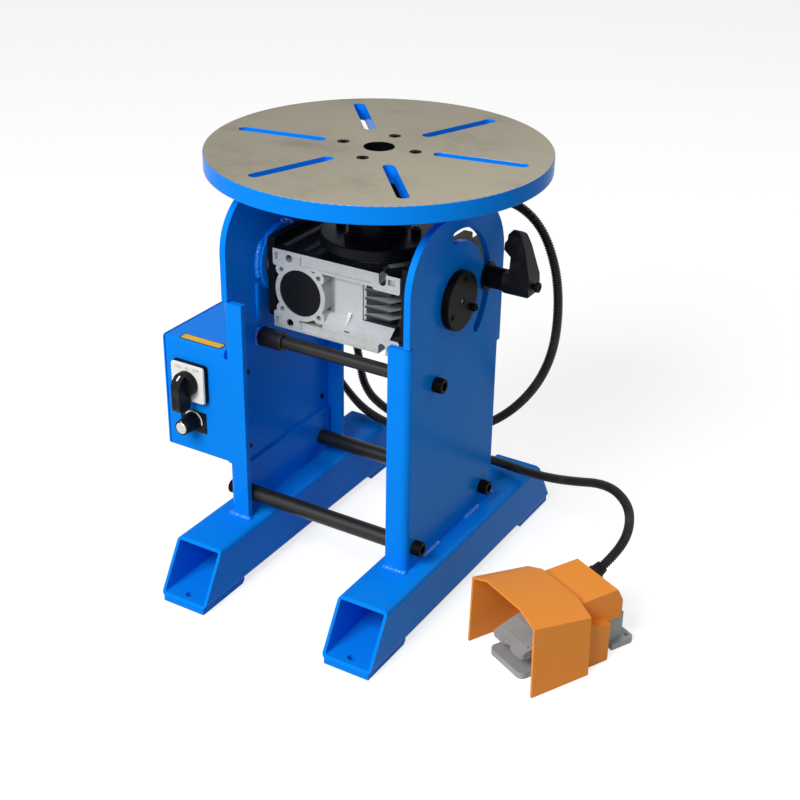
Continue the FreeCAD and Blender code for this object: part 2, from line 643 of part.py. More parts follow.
def gearbox_housing():
    """The worm box casting: decks, corner feet, worm barrel with its lobed flange, ribbed wheel case."""
    low_deck = box(BOX_LEFT_X, BOX_FRONT_Y, BOX_LOW_Z, BOX_RIGHT_X, BOX_REAR_Y, BOX_LOW_Z + 2 * BOX_WALL)
    high_deck = box(BOX_LEFT_X, BOX_FRONT_Y, BOX_HIGH_Z - 2 * BOX_WALL, BOX_RIGHT_X, BOX_REAR_Y, BOX_HIGH_Z)
    parts = [low_deck, high_deck]
    inset = FOOT_W / 2
    xs = (BOX_LEFT_X + inset, BOX_RIGHT_X - inset)
    zs = (BOX_LOW_Z + FOOT_H / 2, BOX_HIGH_Z - FOOT_H / 2)
    for x in xs:
        for z in zs:
            parts.append(foot_block(x, z, BOX_FRONT_Y, BOX_FRONT_Y + FOOT_T))
            parts.append(foot_block(x, z, BOX_REAR_Y - FOOT_T, BOX_REAR_Y))
    barrel_d = CAP_D + 2 * BOX_WALL
    parts.append(rod(worm_point(BOX_FRONT_Y), Y, barrel_d, BOX_REAR_Y - BOX_FRONT_Y))
    for dx in (-LOBE_X, LOBE_X):
        for dz in (-LOBE_Z, LOBE_Z):
            for y in (BOX_FRONT_Y, BOX_REAR_Y - FOOT_T):
                parts.append(rod(V(WORM_X + dx, y, WORM_Z + dz), Y, 2 * LOBE_R, FOOT_T))
    case_r = WHEEL_D / 2 + 2 * BOX_WALL
    case_low, case_high = BOX_LOW_Z + BOX_WALL, BOX_HIGH_Z - BOX_WALL
    parts.append(rod(spin_point(case_low), Z, 2 * case_r, case_high - case_low))
    bridge_y = (SPIN_Y - case_r + BOX_WALL, SPIN_Y + case_r - BOX_WALL)
    parts.append(box(WORM_X, bridge_y[0], case_low, 0, bridge_y[1], case_high))
    front = BOX_FRONT_Y + RECESS_D
    parts.append(box(PAD_LEFT_X, front, case_low, PAD_LEFT_X + PAD_W, SPIN_Y, case_high))
    parts.append(box(BOX_LEFT_X + 4, BOX_FRONT_Y, BOX_HIGH_Z - HIGH_LEDGE_H, BOX_RIGHT_X - 4, BOX_FRONT_Y + LEDGE_D,
                     BOX_HIGH_Z))
    ledge, step = BOX_LOW_Z + LOW_LEDGE_H, BOX_LOW_Z + LOW_LEDGE_H + 10.0
    slope = [V(0, BOX_FRONT_Y, BOX_LOW_Z), V(0, BOX_FRONT_Y, ledge), V(0, front, step), V(0, front + 10, step),
             V(0, front + 10, BOX_LOW_Z)]
    slope = plate(slope, V(FIN_END_X + 32.0, 0, 0))
    slope.translate(V(-32.0, 0, 0))
    gusset = plate([V(0, BOX_FRONT_Y + 1, ledge), V(0, front + 1, step + 7), V(0, front + 1, ledge)], V(4.5, 0, 0))
    gusset.translate(V(-3.0, 0, 0))
    parts += [slope, gusset]
    parts += cooling_fins(case_low)
    for z0, z1 in ((BOX_LOW_Z - LOW_BOSS_H, BOX_LOW_Z), (BOX_HIGH_Z, BOX_HIGH_Z + OUTPUT_BOSS_H)):
        parts.append(rod(spin_point(z0), Z, OUTPUT_BOSS_D, z1 - z0))
    body = fuse(parts)
    body = body.cut(deck_recesses())
    for x, z in foot_hole_places():
        if x < 0:
            body = body.cut(rod(V(x, BOX_FRONT_Y - 1, z), Y, FOOT_HOLE_D, FOOT_T + 2))
        else:
            out = 1 if z > WORM_Z else -1
            body = body.cut(rod(V(x, BOX_FRONT_Y - 1, z), Y, FOOT_HOLE_D, FOOT_T + 2))
            z0, z1 = sorted((z, z + out * FOOT_H))
            body = body.cut(box(x - FOOT_HOLE_D / 2, BOX_FRONT_Y - 1, z0, x + FOOT_HOLE_D / 2,
                                BOX_FRONT_Y + FOOT_T + 1, z1))
        body = body.cut(rod(V(x, BOX_REAR_Y - FOOT_T, z), Y, CRADLE_SCREW_D, FOOT_T + 1))
    for dx in (-LOBE_X, LOBE_X):
        for dz in (-LOBE_Z, LOBE_Z):
            body = body.cut(rod(V(WORM_X + dx, BOX_FRONT_Y - 1, WORM_Z + dz), Y, LOBE_HOLE_D, FOOT_T))
    for dx, dy in housing_screw_places():
        body = body.cut(rod(V(dx, SPIN_Y + dy, HOUSING_LOW_Z - 10.0), Z, HOUSING_SCREW_D, 11.0))
    return body.cut(gearbox_cavity())


def cooling_fins(low):
    """Flat fins round the wheel case's free end, clipped at both corners, over a web that joins them."""
    fins = []
    dx, dy = FIN_CLIP
    y0, y1 = BOX_FRONT_Y + RECESS_D, BOX_REAR_Y - BOX_WALL
    for i in range(FIN_COUNT):
        z = BOX_HIGH_Z - FIN_TOP_DROP - FIN_PITCH * i - FIN_T / 2
        fins.append(plate([V(FIN_LEFT_X, y0, z), V(FIN_END_X - dx, y0, z), V(FIN_END_X, y0 + dy, z),
                           V(FIN_END_X, y1 - dy, z), V(FIN_END_X - dx, y1, z), V(FIN_LEFT_X, y1, z)],
                          V(0, 0, FIN_T)))
    return fins


def deck_recesses():
    """Shallow panels in both front ledges, pockets in the feet, and troughs in the top deck."""
    x0, x1 = BOX_LEFT_X + FOOT_W + 2.5, BOX_RIGHT_X - FOOT_W - 2.5
    front, deep = BOX_FRONT_Y - 1, BOX_FRONT_Y + PANEL_D
    pocket, left, right = BOX_FRONT_Y + POCKET_D, BOX_LEFT_X + 3.0, BOX_RIGHT_X - 6.0
    high, low = BOX_HIGH_Z, BOX_LOW_Z
    cuts = [box(x0, front, high - 14.5, x1, deep, high - 4.0),
            box(x0, front, low + 3.5, x1, deep, low + 13.0),
            box(-1.0, front, low + 15.5, 6.0, pocket, low + 18.0),
            box(left, front, high - 13.5, left + 6.5, pocket, high - 4.5),
            box(left, front, low + 4.5, left + 6.5, pocket, low + 13.5),
            box(right - 10.0, front, high - 11.5, right, pocket, high - 4.5),
            box(right - 10.0, front, low + 4.5, right, pocket, low + 11.5)]
    trough_y = BOX_FRONT_Y + FOOT_T
    clear = rod(spin_point(high - 6.0), Z, OUTPUT_BOSS_D + 8.0, 12.0)
    for a, b in ((left + 2.0, BOX_LEFT_X + 30.0), (BOX_LEFT_X + 35.0, -40.0), (40.0, BOX_RIGHT_X - 5.0)):
        cuts.append(box(a, trough_y, high - 5.0, b, BOX_REAR_Y - FOOT_T, high + 1.0).cut(clear))
    return group(cuts)


def gearbox_cavity():
    """The room inside: worm bore, wheel chamber, and the seats of caps and bearings."""
    room_r = WHEEL_D / 2 + 3.0
    half = WHEEL_T / 2 + 5.0
    bore = rod(worm_point(BOX_FRONT_Y + BOX_WALL), Y, WORM_BEARING_D, BOX_REAR_Y - BOX_FRONT_Y)
    cap_seat = rod(worm_point(BOX_FRONT_Y - 1), Y, CAP_D, BOX_WALL + 1)
    spigot_seat = rod(worm_point(BOX_REAR_Y - 3.0), Y, WORM_BEARING_D, 4.0)
    chamber = rod(spin_point(WORM_Z - half), Z, 2 * room_r, 2 * half)
    seats_low = BOX_LOW_Z - LOW_BOSS_H - 1
    seats = rod(spin_point(seats_low), Z, OUT_BEARING_D, BOX_HIGH_Z + OUTPUT_BOSS_H + 1 - seats_low)
    return bore.fuse([cap_seat, spigot_seat, chamber, seats])


def worm_cap():
    """The black cap that closes the worm bore in front."""
    cap = rod(worm_point(BOX_FRONT_Y + 1.0), Y, CAP_D, BOX_WALL - 1.0)
    return cap.makeFillet(1.0, [e for e in cap.Edges if e.CenterOfMass.y < BOX_FRONT_Y + 1.1
                                and e.Curve.TypeId == "Part::GeomCircle"])


WORM_BEARING_YS = (BOX_FRONT_Y + BOX_WALL, BOX_REAR_Y - 3.0 - WORM_BEARING_T)
OUT_BEARING_ZS = (WORM_Z - WHEEL_T / 2 - OUT_BEARING_Z, WORM_Z + WHEEL_T / 2 + OUT_BEARING_Z - OUT_BEARING_T)


def worm_bearings():
    """The two ball bearings of the worm, each as one ring."""
    return group([tube(worm_point(y), Y, WORM_BEARING_D, WORM_JOURNAL_D + 2 * RUN_GAP, WORM_BEARING_T)
                  for y in WORM_BEARING_YS])


def output_bearings():
    """The two ball bearings of the spindle, each as one ring."""
    return group([tube(spin_point(z), Z, OUT_BEARING_D, SPINDLE_D + 2 * RUN_GAP, OUT_BEARING_T)
                  for z in OUT_BEARING_ZS])


def output_seals():
    """Shaft seals in the top and bottom bosses."""
    seal_t = 7.0
    inner = SPINDLE_D + 1.0
    return group([tube(spin_point(BOX_HIGH_Z + OUTPUT_BOSS_H - seal_t), Z, OUT_BEARING_D, inner, seal_t),
                  tube(spin_point(BOX_LOW_Z - LOW_BOSS_H), Z, OUT_BEARING_D, inner, seal_t)])


def worm_shaft():
    """The worm, its journals, and the motor's rotor shaft behind it."""
    rear = WORM_BEARING_YS[1] + WORM_BEARING_T
    front = WORM_BEARING_YS[0] + 1.0
    return fuse([rod(worm_point(SPIN_Y - WORM_LEN / 2), Y, WORM_D - MESH_GAP, WORM_LEN),
                 rod(worm_point(front), Y, WORM_JOURNAL_D, rear - front),
                 rod(worm_point(rear), Y, WORM_JOURNAL_D * 0.6, REAR_PLATE_Y + MOTOR_BELL - rear)])


def worm_wheel():
    """The bronze wheel on the spindle, drawn at its pitch size."""
    return tube(spin_point(WORM_Z - WHEEL_T / 2), Z, WHEEL_D - MESH_GAP, SPINDLE_D, WHEEL_T)


# ---------------------------------------------------------------- motor

def motor_flange():
    """The spigot that centres the motor in the rear plate and on the worm bore."""
    return tube(worm_point(BOX_REAR_Y), Y, SPIGOT_D, WORM_JOURNAL_D, REAR_T)


def motor_body():
    """A finned motor tube."""
    start = REAR_PLATE_Y
    body = rod(worm_point(start), Y, MOTOR_D, MOTOR_LEN)
    groove_count = 9
    pitch = (MOTOR_LEN - 2 * MOTOR_BELL) / groove_count
    for i in range(groove_count):
        y = start + MOTOR_BELL + pitch * i + 2.0
        body = body.cut(tube(worm_point(y), Y, MOTOR_D + 2, MOTOR_D - 2 * MOTOR_RIM, pitch - 4.0))
    body = body.cut(rod(worm_point(start - 1), Y, WORM_JOURNAL_D, MOTOR_BELL + 3.0))
    flat = box(WORM_X - TERMINAL_W / 2, start, WORM_Z + MOTOR_D / 2 - 5.0,
               WORM_X + TERMINAL_W / 2, start + MOTOR_LEN, WORM_Z + MOTOR_D)
    return body.cut(flat)


TERMINAL_LOW_Z = WORM_Z + MOTOR_D / 2 - 5.0
TERMINAL_Y = REAR_PLATE_Y + MOTOR_BELL + 10.0
GLAND_Z = TERMINAL_LOW_Z + TERMINAL_H / 2
GLAND_Y = TERMINAL_Y + TERMINAL_L / 2


def motor_end_cap():
    """The domed cover at the motor's rear end."""
    end = REAR_PLATE_Y + MOTOR_LEN
    cap = rod(worm_point(end), Y, MOTOR_D - 4.0, END_CAP_LEN)
    return cap.makeFillet(END_CAP_R, [e for e in cap.Edges if e.CenterOfMass.y > end + 0.9 * END_CAP_LEN
                                      and e.Curve.TypeId == "Part::GeomCircle"])


def terminal_box():
    x0, x1 = WORM_X - TERMINAL_W / 2, WORM_X + TERMINAL_W / 2
    y0, y1 = TERMINAL_Y, TERMINAL_Y + TERMINAL_L
    outer = box(x0, y0, TERMINAL_LOW_Z, x1, y1, TERMINAL_LOW_Z + TERMINAL_H)
    outer = outer.makeFillet(4.0, edges_along(outer, Z))
    wall = 3.0
    inner = box(x0 + wall, y0 + wall, TERMINAL_LOW_Z + wall, x1 - wall, y1 - wall, TERMINAL_LOW_Z + TERMINAL_H + 1)
    hole = rod(V(x1 - wall - 1, GLAND_Y, GLAND_Z), X, CONDUIT_D, wall + 2)
    return outer.cut(inner).cut(hole)


def terminal_lid():
    x0, x1 = WORM_X - TERMINAL_W / 2, WORM_X + TERMINAL_W / 2
    z = TERMINAL_LOW_Z + TERMINAL_H
    lid = box(x0, TERMINAL_Y, z, x1, TERMINAL_Y + TERMINAL_L, z + TERMINAL_LID)
    return lid.makeFillet(4.0, edges_along(lid, Z))


# ---------------------------------------------------------------- table and hub

HOUSING_LOW_Z = BOX_HIGH_Z + OUTPUT_BOSS_H
HOUSING_TOP_Z = HOUSING_LOW_Z + HOUSING_T


def bearing_housing():
    """The black disc bolted on the gearbox's output face, round the spindle."""
    disc = rod(spin_point(HOUSING_LOW_Z), Z, HOUSING_D, HOUSING_T)
    disc = disc.makeChamfer(1.5, [e for e in disc.Edges if e.Curve.TypeId == "Part::GeomCircle"])
    disc = disc.cut(rod(spin_point(HOUSING_LOW_Z - 1), Z, SPINDLE_D + 2 * RUN_GAP, HOUSING_T + 2))
    for dx, dy in housing_screw_places():
        disc = disc.cut(rod(V(dx, SPIN_Y + dy, HOUSING_LOW_Z - 1), Z, HOUSING_SCREW_D, HOUSING_T + 2))
    return disc


def housing_screw_places():
    return ring_points((OUTPUT_BOSS_D + OUT_BEARING_D) / 4, HOUSING_SCREW_COUNT, 15.0)


def housing_screws():
    return group([cap_screw(V(dx, SPIN_Y + dy, HOUSING_TOP_Z), Z * -1, HOUSING_SCREW_D, HOUSING_T + 8.0)
                  for dx, dy in housing_screw_places()])


def table_hub():
    """The spindle with its neck and the flange under the table."""
    low = BOX_LOW_Z - LOW_BOSS_H + 1.0
    neck_low = HOUSING_TOP_Z + HUB_GAP
    flange_low = TABLE_LOW_Z - HUB_FLANGE_T
    hub = fuse([rod(spin_point(low), Z, SPINDLE_D, neck_low - low),
                rod(spin_point(neck_low), Z, HUB_NECK_D, flange_low - neck_low),
                rod(spin_point(flange_low), Z, HUB_D, HUB_FLANGE_T)])
    hub = hub.cut(rod(spin_point(low - 1), Z, SPINDLE_BORE_D, TABLE_LOW_Z - low + 2))
    for dx, dy in ring_points(HUB_BOLT_PCD / 2, HUB_BOLT_COUNT, HUB_BOLT_PHASE):
        hub = hub.cut(rod(V(dx, SPIN_Y + dy, flange_low - 1), Z, HUB_BOLT_D, HUB_FLANGE_T + 2))
    return hub


def table_plate():
    """The slotted round table."""
    disc = rod(spin_point(TABLE_LOW_Z), Z, TABLE_D, TABLE_T)
    disc = disc.makeChamfer(TABLE_EDGE, [e for e in disc.Edges if e.Curve.TypeId == "Part::GeomCircle"])
    disc = disc.cut(rod(spin_point(TABLE_LOW_Z - 1), Z, TABLE_BORE_D, TABLE_T + 2))
    for i in range(SLOT_COUNT):
        disc = disc.cut(radial_slot(SLOT_PHASE + 360.0 * i / SLOT_COUNT))
    for dx, dy in ring_points(HUB_BOLT_PCD / 2, HUB_BOLT_COUNT, HUB_BOLT_PHASE):
        place = V(dx, SPIN_Y + dy, TABLE_LOW_Z - 1)
        disc = disc.cut(rod(place, Z, HUB_BOLT_D, TABLE_T + 2))
        disc = disc.cut(rod(V(place.x, place.y, TABLE_TOP_Z - HUB_BOLT_HEAD_T), Z, HUB_BOLT_HEAD_D + 2 * HOLE_PLAY,
                            HUB_BOLT_HEAD_T + 1))
    return disc


def radial_slot(angle):
    low = TABLE_LOW_Z - 1
    half = SLOT_W / 2
    bar = box(SLOT_R_IN + half, -half, low, SLOT_R_OUT - half, half, low + TABLE_T + 2)
    for r in (SLOT_R_IN + half, SLOT_R_OUT - half):
        bar = bar.fuse(rod(V(r, 0, low), Z, SLOT_W, TABLE_T + 2))
    bar.rotate(V(0, 0, 0), Z, angle)
    bar.translate(V(0, SPIN_Y, 0))
    return bar


def table_screws():
    """The cap screws that hold the table on its hub, sunk below its face."""
    seat = TABLE_TOP_Z - HUB_BOLT_HEAD_T
    return group([cap_screw(V(dx, SPIN_Y + dy, seat), Z * -1, HUB_BOLT_D, TABLE_T - HUB_BOLT_HEAD_T + HUB_FLANGE_T - 1)
                  for dx, dy in ring_points(HUB_BOLT_PCD / 2, HUB_BOLT_COUNT, HUB_BOLT_PHASE)])


def spindle_cover():
    """The round cover under the gearbox, round the spindle's foot."""
    low = BOX_LOW_Z - LOW_BOSS_H - COVER_T
    cover = rod(spin_point(low), Z, COVER_D, COVER_T)
    return cover.makeFillet(2.0, [e for e in cover.Edges if e.CenterOfMass.z < low + 0.1
                                  and e.Curve.TypeId == "Part::GeomCircle"])


# ---------------------------------------------------------------- clamp

STUD_Y = TILT_Y + ARC_R * math.cos(math.radians(STUD_ANGLE))
STUD_Z = TILT_Z + ARC_R * math.sin(math.radians(STUD_ANGLE))
WASHER_X = CHEEK_OUT_X + DISC_GAP
LEVER_START_X = SPACER_END_X + DISC_GAP
INSERT_D = 16.0


def stud_point(x):
    return V(x, STUD_Y, STUD_Z)


def clamp_stud():
    """The long stud screwed into the right side plate; it passes through the arc slot."""
    return rod(stud_point(BOX_RIGHT_X), X, STUD_D, LEVER_END_X - 13.0 - BOX_RIGHT_X)


def clamp_spacers():
    """A sleeve inside the cheek, and the washer and sleeve outside it."""
    inner = tube(stud_point(RIGHT_SIDE_X), X, SPACER_D - 2, STUD_D, CHEEK_IN_X - DISC_GAP - RIGHT_SIDE_X)
    washer = tube(stud_point(WASHER_X), X, WASHER_D, STUD_D, WASHER_T)
    start = WASHER_X + WASHER_T
    outer = tube(stud_point(start), X, SPACER_D, STUD_D, SPACER_END_X - start)
    return inner, washer, outer


def clamp_insert():
    """The lever's tapped insert, with a hexagonal drive on the outside."""
    length = LEVER_END_X - 8.0 - LEVER_START_X
    insert = hexagon(stud_point(LEVER_START_X), X, INSERT_D, length)
    insert = insert.cut(rod(stud_point(LEVER_START_X - 1), X, STUD_D + 2 * RUN_GAP,
                            LEVER_END_X - 11.0 - LEVER_START_X))
    return insert


def clamp_retaining_screw():
    """The screw in the insert's end; its head stands off the lever by the lever's lift."""
    start = LEVER_END_X - 8.0
    head_x = LEVER_END_X + LEVER_LIFT
    screw = fuse([rod(stud_point(start), X, 5.0, head_x - start), rod(stud_point(head_x), X, 12.0, 4.0)])
    return screw.cut(rod(stud_point(head_x + 2.5), X, 6.0, 2.0))


def clamp_handle():
    """The lever: a drum-like hub and an arm that leans out and ends in a rounded finger rest."""
    z0, x0, x1 = STUD_Z, LEVER_START_X, LEVER_END_X
    hub, reach = LEVER_HUB_R, LEVER_REACH
    side = plate([V(x0, -50, z0 - hub + 2), V(x0 + 8, -50, z0 - hub), V(x1 - 6, -50, z0 - hub),
                  V(x1, -50, z0 - hub + 6), V(x1, -50, z0 + 12), V(x1 - 10, -50, z0 + reach - 16),
                  V(x1 - 16, -50, z0 + reach - 3), V(x1 - 22, -50, z0 + reach), V(x0 + 5, -50, z0 + reach),
                  V(x0 + 2, -50, z0 + reach - 4), V(x0 + 2, -50, z0 + reach - 10), V(x0 - 1, -50, z0 + reach - 14),
                  V(x0 - 1, -50, z0 + reach - 22), V(x0 + 8, -50, z0 + reach - 29), V(x0 + 8, -50, z0 + hub),
                  V(x0, -50, z0 + hub - 2)], V(0, 200, 0))
    tip_r, tip_z = 8.0, z0 + reach - 8.0
    lean = math.asin((hub - tip_r) / (tip_z - z0))
    flank = [V(0, STUD_Y + s * r * math.cos(lean), z + r * math.sin(lean))
             for s, r, z in ((1, hub, z0), (1, tip_r, tip_z), (-1, tip_r, tip_z), (-1, hub, z0))]
    front = fuse([plate(flank, V(x1, 0, 0)),
                  rod(V(0, STUD_Y, z0), X, 2 * hub, x1), rod(V(0, STUD_Y, tip_z), X, 2 * tip_r, x1)])
    arm = side.common(front)
    socket = hexagon(stud_point(x0 - 2), X, INSERT_D + 2 * DISC_GAP, x1 - 7.0 - x0 + 2)
    return arm.cut(socket).cut(rod(stud_point(x0), X, 8.0, x1))


# ---------------------------------------------------------------- control box

CTRL_SCREW_YS = (-84.0, 76.0)
CTRL_SCREW_ZS = (CTRL_LOW_Z + 10.0, CTRL_HIGH_Z - 39.0)
PANEL_Y = CHEEK_FRONT_Y


def ctrl_screw_seats():
    return [(y, z) for y in CTRL_SCREW_YS for z in CTRL_SCREW_ZS]


def control_box_shell():
    """A sheet-metal box fixed to the left cheek, open on the side away from it."""
    x0, x1 = -CTRL_OUT_X + CTRL_WALL + COVER_SEAM, -CHEEK_OUT_X
    w = CTRL_WALL
    outer = box(x0, PANEL_Y, CTRL_LOW_Z, x1, CTRL_REAR_Y, CTRL_HIGH_Z)
    outer = outer.makeFillet(2 * w, edges_along(outer, X))
    inner = box(x0 - 1, PANEL_Y + w, CTRL_LOW_Z + w, x1 - w, CTRL_REAR_Y - w, CTRL_HIGH_Z - w)
    inner = inner.makeFillet(w, edges_along(inner, X))
    shell = outer.cut(inner)
    shell = shell.cut(rod(V(SWITCH_X, PANEL_Y - 1, SWITCH_Z), Y, 22.0, w + 2))
    shell = shell.cut(rod(V(SWITCH_X, PANEL_Y - 1, KNOB_Z), Y, 9.0, w + 2))
    for y, z in ctrl_screw_seats():
        shell = shell.cut(rod(V(x1 - w - 1, y, z), X, CTRL_SCREW_D + 2 * HOLE_PLAY, w + 2))
    for x, z in GLAND_PLACES:
        shell = shell.cut(rod(V(x, CTRL_REAR_Y - w - 1, z), Y, CONDUIT_D, w + 2))
    for start, way in cover_screw_seats():
        shell = shell.cut(rod(start - way, way, 4.0, w + 2))
    return shell


GLAND_PLACES = ((-150.0, 256.0), (-195.0, 181.0), (-195.0, 240.0))


def cover_screw_seats():
    """Where the cover's screws sit: two under the box and two behind it."""
    x = -CTRL_OUT_X + CTRL_WALL + COVER_SEAM + 6.0
    low = [(V(x, y, CTRL_LOW_Z), Z) for y in (PANEL_Y + 40.0, CTRL_REAR_Y - 40.0)]
    rear = [(V(x, CTRL_REAR_Y, z), Y * -1) for z in (CTRL_LOW_Z + 25.0, CTRL_HIGH_Z - 25.0)]
    return low + rear


def control_box_cover():
    """The side cover: a flat plate whose lip slides into the shell, leaving a narrow seam."""
    w = CTRL_WALL
    x0 = -CTRL_OUT_X
    face = box(x0, PANEL_Y, CTRL_LOW_Z, x0 + w, CTRL_REAR_Y, CTRL_HIGH_Z)
    face = face.makeFillet(2 * w, edges_along(face, X))
    lip_end = x0 + w + COVER_SEAM + 12.0
    lip = box(x0 + w, PANEL_Y + w, CTRL_LOW_Z + w, lip_end, CTRL_REAR_Y - w, CTRL_HIGH_Z - w)
    lip = lip.makeFillet(w, edges_along(lip, X))
    hollow = box(x0 + w, PANEL_Y + 2 * w, CTRL_LOW_Z + 2 * w, lip_end + 1, CTRL_REAR_Y - 2 * w, CTRL_HIGH_Z - 2 * w)
    cover = fuse([face, lip]).cut(hollow)
    for start, way in cover_screw_seats():
        cover = cover.cut(rod(start, way, 4.0, 2 * w + 1))
    return cover


def cover_screws():
    return group([fuse([rod(start - way * 2.0, way, 8.0, 2.0), rod(start, way, 4.0, 2 * CTRL_WALL + 3)])
                  for start, way in cover_screw_seats()])


def control_box_screws():
    """Screws from inside the control box through the cheek."""
    x = -CHEEK_OUT_X - CTRL_WALL
    return group([cap_screw(V(x, y, z), X, CTRL_SCREW_D, CTRL_WALL + CHEEK_T + 1.5) for y, z in ctrl_screw_seats()])


def switch_body():
    """The rotary switch: a square bezel outside the panel and a square block inside it."""
    half = SWITCH_SIZE / 2
    bezel = box(SWITCH_X - half, PANEL_Y - SWITCH_DEPTH, SWITCH_Z - half,
                SWITCH_X + half, PANEL_Y, SWITCH_Z + half)
    bezel = bezel.makeFillet(4.0, edges_along(bezel, Y))
    inside = PANEL_Y + CTRL_WALL
    reach = SWITCH_BLOCK_W / 2
    block = box(SWITCH_X - reach, inside, SWITCH_Z - reach, SWITCH_X + reach, inside + SWITCH_BLOCK_L,
                SWITCH_Z + reach)
    body = fuse([bezel, rod(V(SWITCH_X, PANEL_Y - 1, SWITCH_Z), Y, SWITCH_NECK_D, CTRL_WALL + 2), block])
    return body.cut(rod(V(SWITCH_X, PANEL_Y - SWITCH_DEPTH - 1, SWITCH_Z), Y, PANEL_SHAFT_D + 2 * RUN_GAP,
                        SWITCH_SHAFT_ROOM))


def switch_dial():
    """The pale square dial in front of the bezel."""
    half = SWITCH_SIZE / 2 - 1.0
    y0 = PANEL_Y - SWITCH_DEPTH - DIAL_T
    dial = box(SWITCH_X - half, y0, SWITCH_Z - half, SWITCH_X + half, y0 + DIAL_T, SWITCH_Z + half)
    dial = dial.makeFillet(3.0, edges_along(dial, Y))
    return dial.cut(rod(V(SWITCH_X, y0 - 1, SWITCH_Z), Y, 14.0, DIAL_T + 2))


def switch_handle():
    """The pistol-shaped handle: a round hub, and a grip that hangs below it."""
    back = PANEL_Y - SWITCH_DEPTH - DIAL_T - DISC_GAP
    hub = rod(V(SWITCH_X, back, SWITCH_Z), Y * -1, SWITCH_HUB_D, SWITCH_HUB_T)
    hub = hub.makeFillet(2.0, [e for e in hub.Edges if e.CenterOfMass.y < back - 0.9 * SWITCH_HUB_T])
    x0 = SWITCH_X - SWITCH_GRIP_W / 2
    outline = [(0.0, 13.0), (-12.0, 15.0), (-20.0, 10.0), (-24.0, 2.0), (-24.0, -26.0), (-22.0, -30.0),
               (-4.0, -30.0), (-2.0, -14.0)]
    grip = plate([V(x0, back + dy, SWITCH_Z + dz) for dy, dz in outline], V(SWITCH_GRIP_W, 0, 0))
    grip = grip.makeFillet(1.5, edges_along(grip, Z, lambda c: c.y < back - 20))
    shaft = rod(V(SWITCH_X, back, SWITCH_Z), Y, PANEL_SHAFT_D, SWITCH_DEPTH + DIAL_T + 18.0)
    return fuse([hub, grip, shaft])


def speed_scale():
    """The dark plate behind the speed knob."""
    y0 = PANEL_Y - SCALE_T
    x0, z0 = SWITCH_X - SCALE_W / 2, KNOB_Z - SCALE_H / 2
    scale = box(x0, y0, z0, x0 + SCALE_W, PANEL_Y, z0 + SCALE_H)
    return scale.cut(rod(V(SWITCH_X, y0 - 1, KNOB_Z), Y, 9.0, SCALE_T + 2))


def speed_pot():
    """The potentiometer behind the panel, with its threaded bush through it."""
    inside = PANEL_Y + CTRL_WALL
    pot = fuse([rod(V(SWITCH_X, inside, KNOB_Z), Y, 24.0, 12.0),
                rod(V(SWITCH_X, PANEL_Y - SCALE_T, KNOB_Z), Y, 9.0, CTRL_WALL + SCALE_T)])
    return pot.cut(rod(V(SWITCH_X, PANEL_Y - SCALE_T - 1, KNOB_Z), Y, PANEL_SHAFT_D + 2 * RUN_GAP, 13.0))


def speed_knob():
    """The speed knob: a skirt, a tapered grip with flutes, and its shaft."""
    back = PANEL_Y - SCALE_T - DISC_GAP
    face = V(SWITCH_X, back - KNOB_SKIRT_T, KNOB_Z)
    skirt = rod(V(SWITCH_X, back, KNOB_Z), Y * -1, KNOB_D, KNOB_SKIRT_T)
    grip = Part.makeCone(KNOB_D / 2 - 1.0, KNOB_D / 2 - 2.5, KNOB_GRIP_LEN, face, Y * -1)
    knob = fuse([skirt, grip])
    flute_count = 12
    for dx, dz in ring_points(KNOB_D / 2 - 0.6, flute_count, 15.0):
        knob = knob.cut(rod(face + V(dx, 0, dz), Y * -1, 2.0, KNOB_GRIP_LEN + 1))
    shaft = rod(V(SWITCH_X, back, KNOB_Z), Y, PANEL_SHAFT_D, SCALE_T + CTRL_WALL + 8.0)
    return fuse([knob, shaft])


def speed_knob_cap():
    start = V(SWITCH_X, PANEL_Y - SCALE_T - DISC_GAP - KNOB_SKIRT_T - KNOB_GRIP_LEN, KNOB_Z)
    cap = rod(start, Y * -1, 15.0, 1.2)
    return cap.makeChamfer(0.5, [e for e in cap.Edges if e.CenterOfMass.y < start.y - 1])


def control_board():
    """The drive's circuit board on four standoffs, with its larger parts."""
    x = -CHEEK_OUT_X - CTRL_WALL
    stand, board_t = 10.0, 1.6
    y0, y1, z0, z1 = -60.0, 55.0, CTRL_LOW_Z + 30.0, CTRL_HIGH_Z - 25.0
    parts = [box(x - stand - board_t, y0, z0, x - stand, y1, z1)]
    for y in (y0 + 6, y1 - 6):
        for z in (z0 + 6, z1 - 6):
            parts.append(rod(V(x - stand, y, z), X, 6.0, stand))
    face = x - stand - board_t
    for dy, dz, size, high in ((25.0, 25.0, 18.0, 30.0), (25.0, 60.0, 18.0, 30.0), (95.0, 25.0, 14.0, 12.0)):
        parts.append(rod(V(face, y0 + dy, z0 + dz), X * -1, size, high))
    return fuse(parts)


def heat_sink():
    """The drive's finned heat sink, standing on the board."""
    face = -CHEEK_OUT_X - CTRL_WALL - 11.6
    y0, z0 = -10.0, CTRL_LOW_Z + 45.0
    parts = [box(face - 4.0, y0, z0, face, y0 + 35.0, z0 + 60.0)]
    for i in range(5):
        y = y0 + 2.0 + 7.5 * i
        parts.append(box(face - 24.0, y, z0, face - 4.0, y + 2.0, z0 + 60.0))
    return fuse(parts)


def terminal_block():
    """The wiring terminals on the control box floor."""
    z0 = CTRL_LOW_Z + CTRL_WALL
    x0, y0 = -190.0, 10.0
    parts = [box(x0, y0, z0, x0 + 22.0, y0 + 56.0, z0 + 16.0)]
    body = parts[0]
    for i in range(6):
        body = body.cut(rod(V(x0 + 11.0, y0 + 6.0 + 8.8 * i, z0 + 10.0), Z, 5.0, 8.0))
    return body


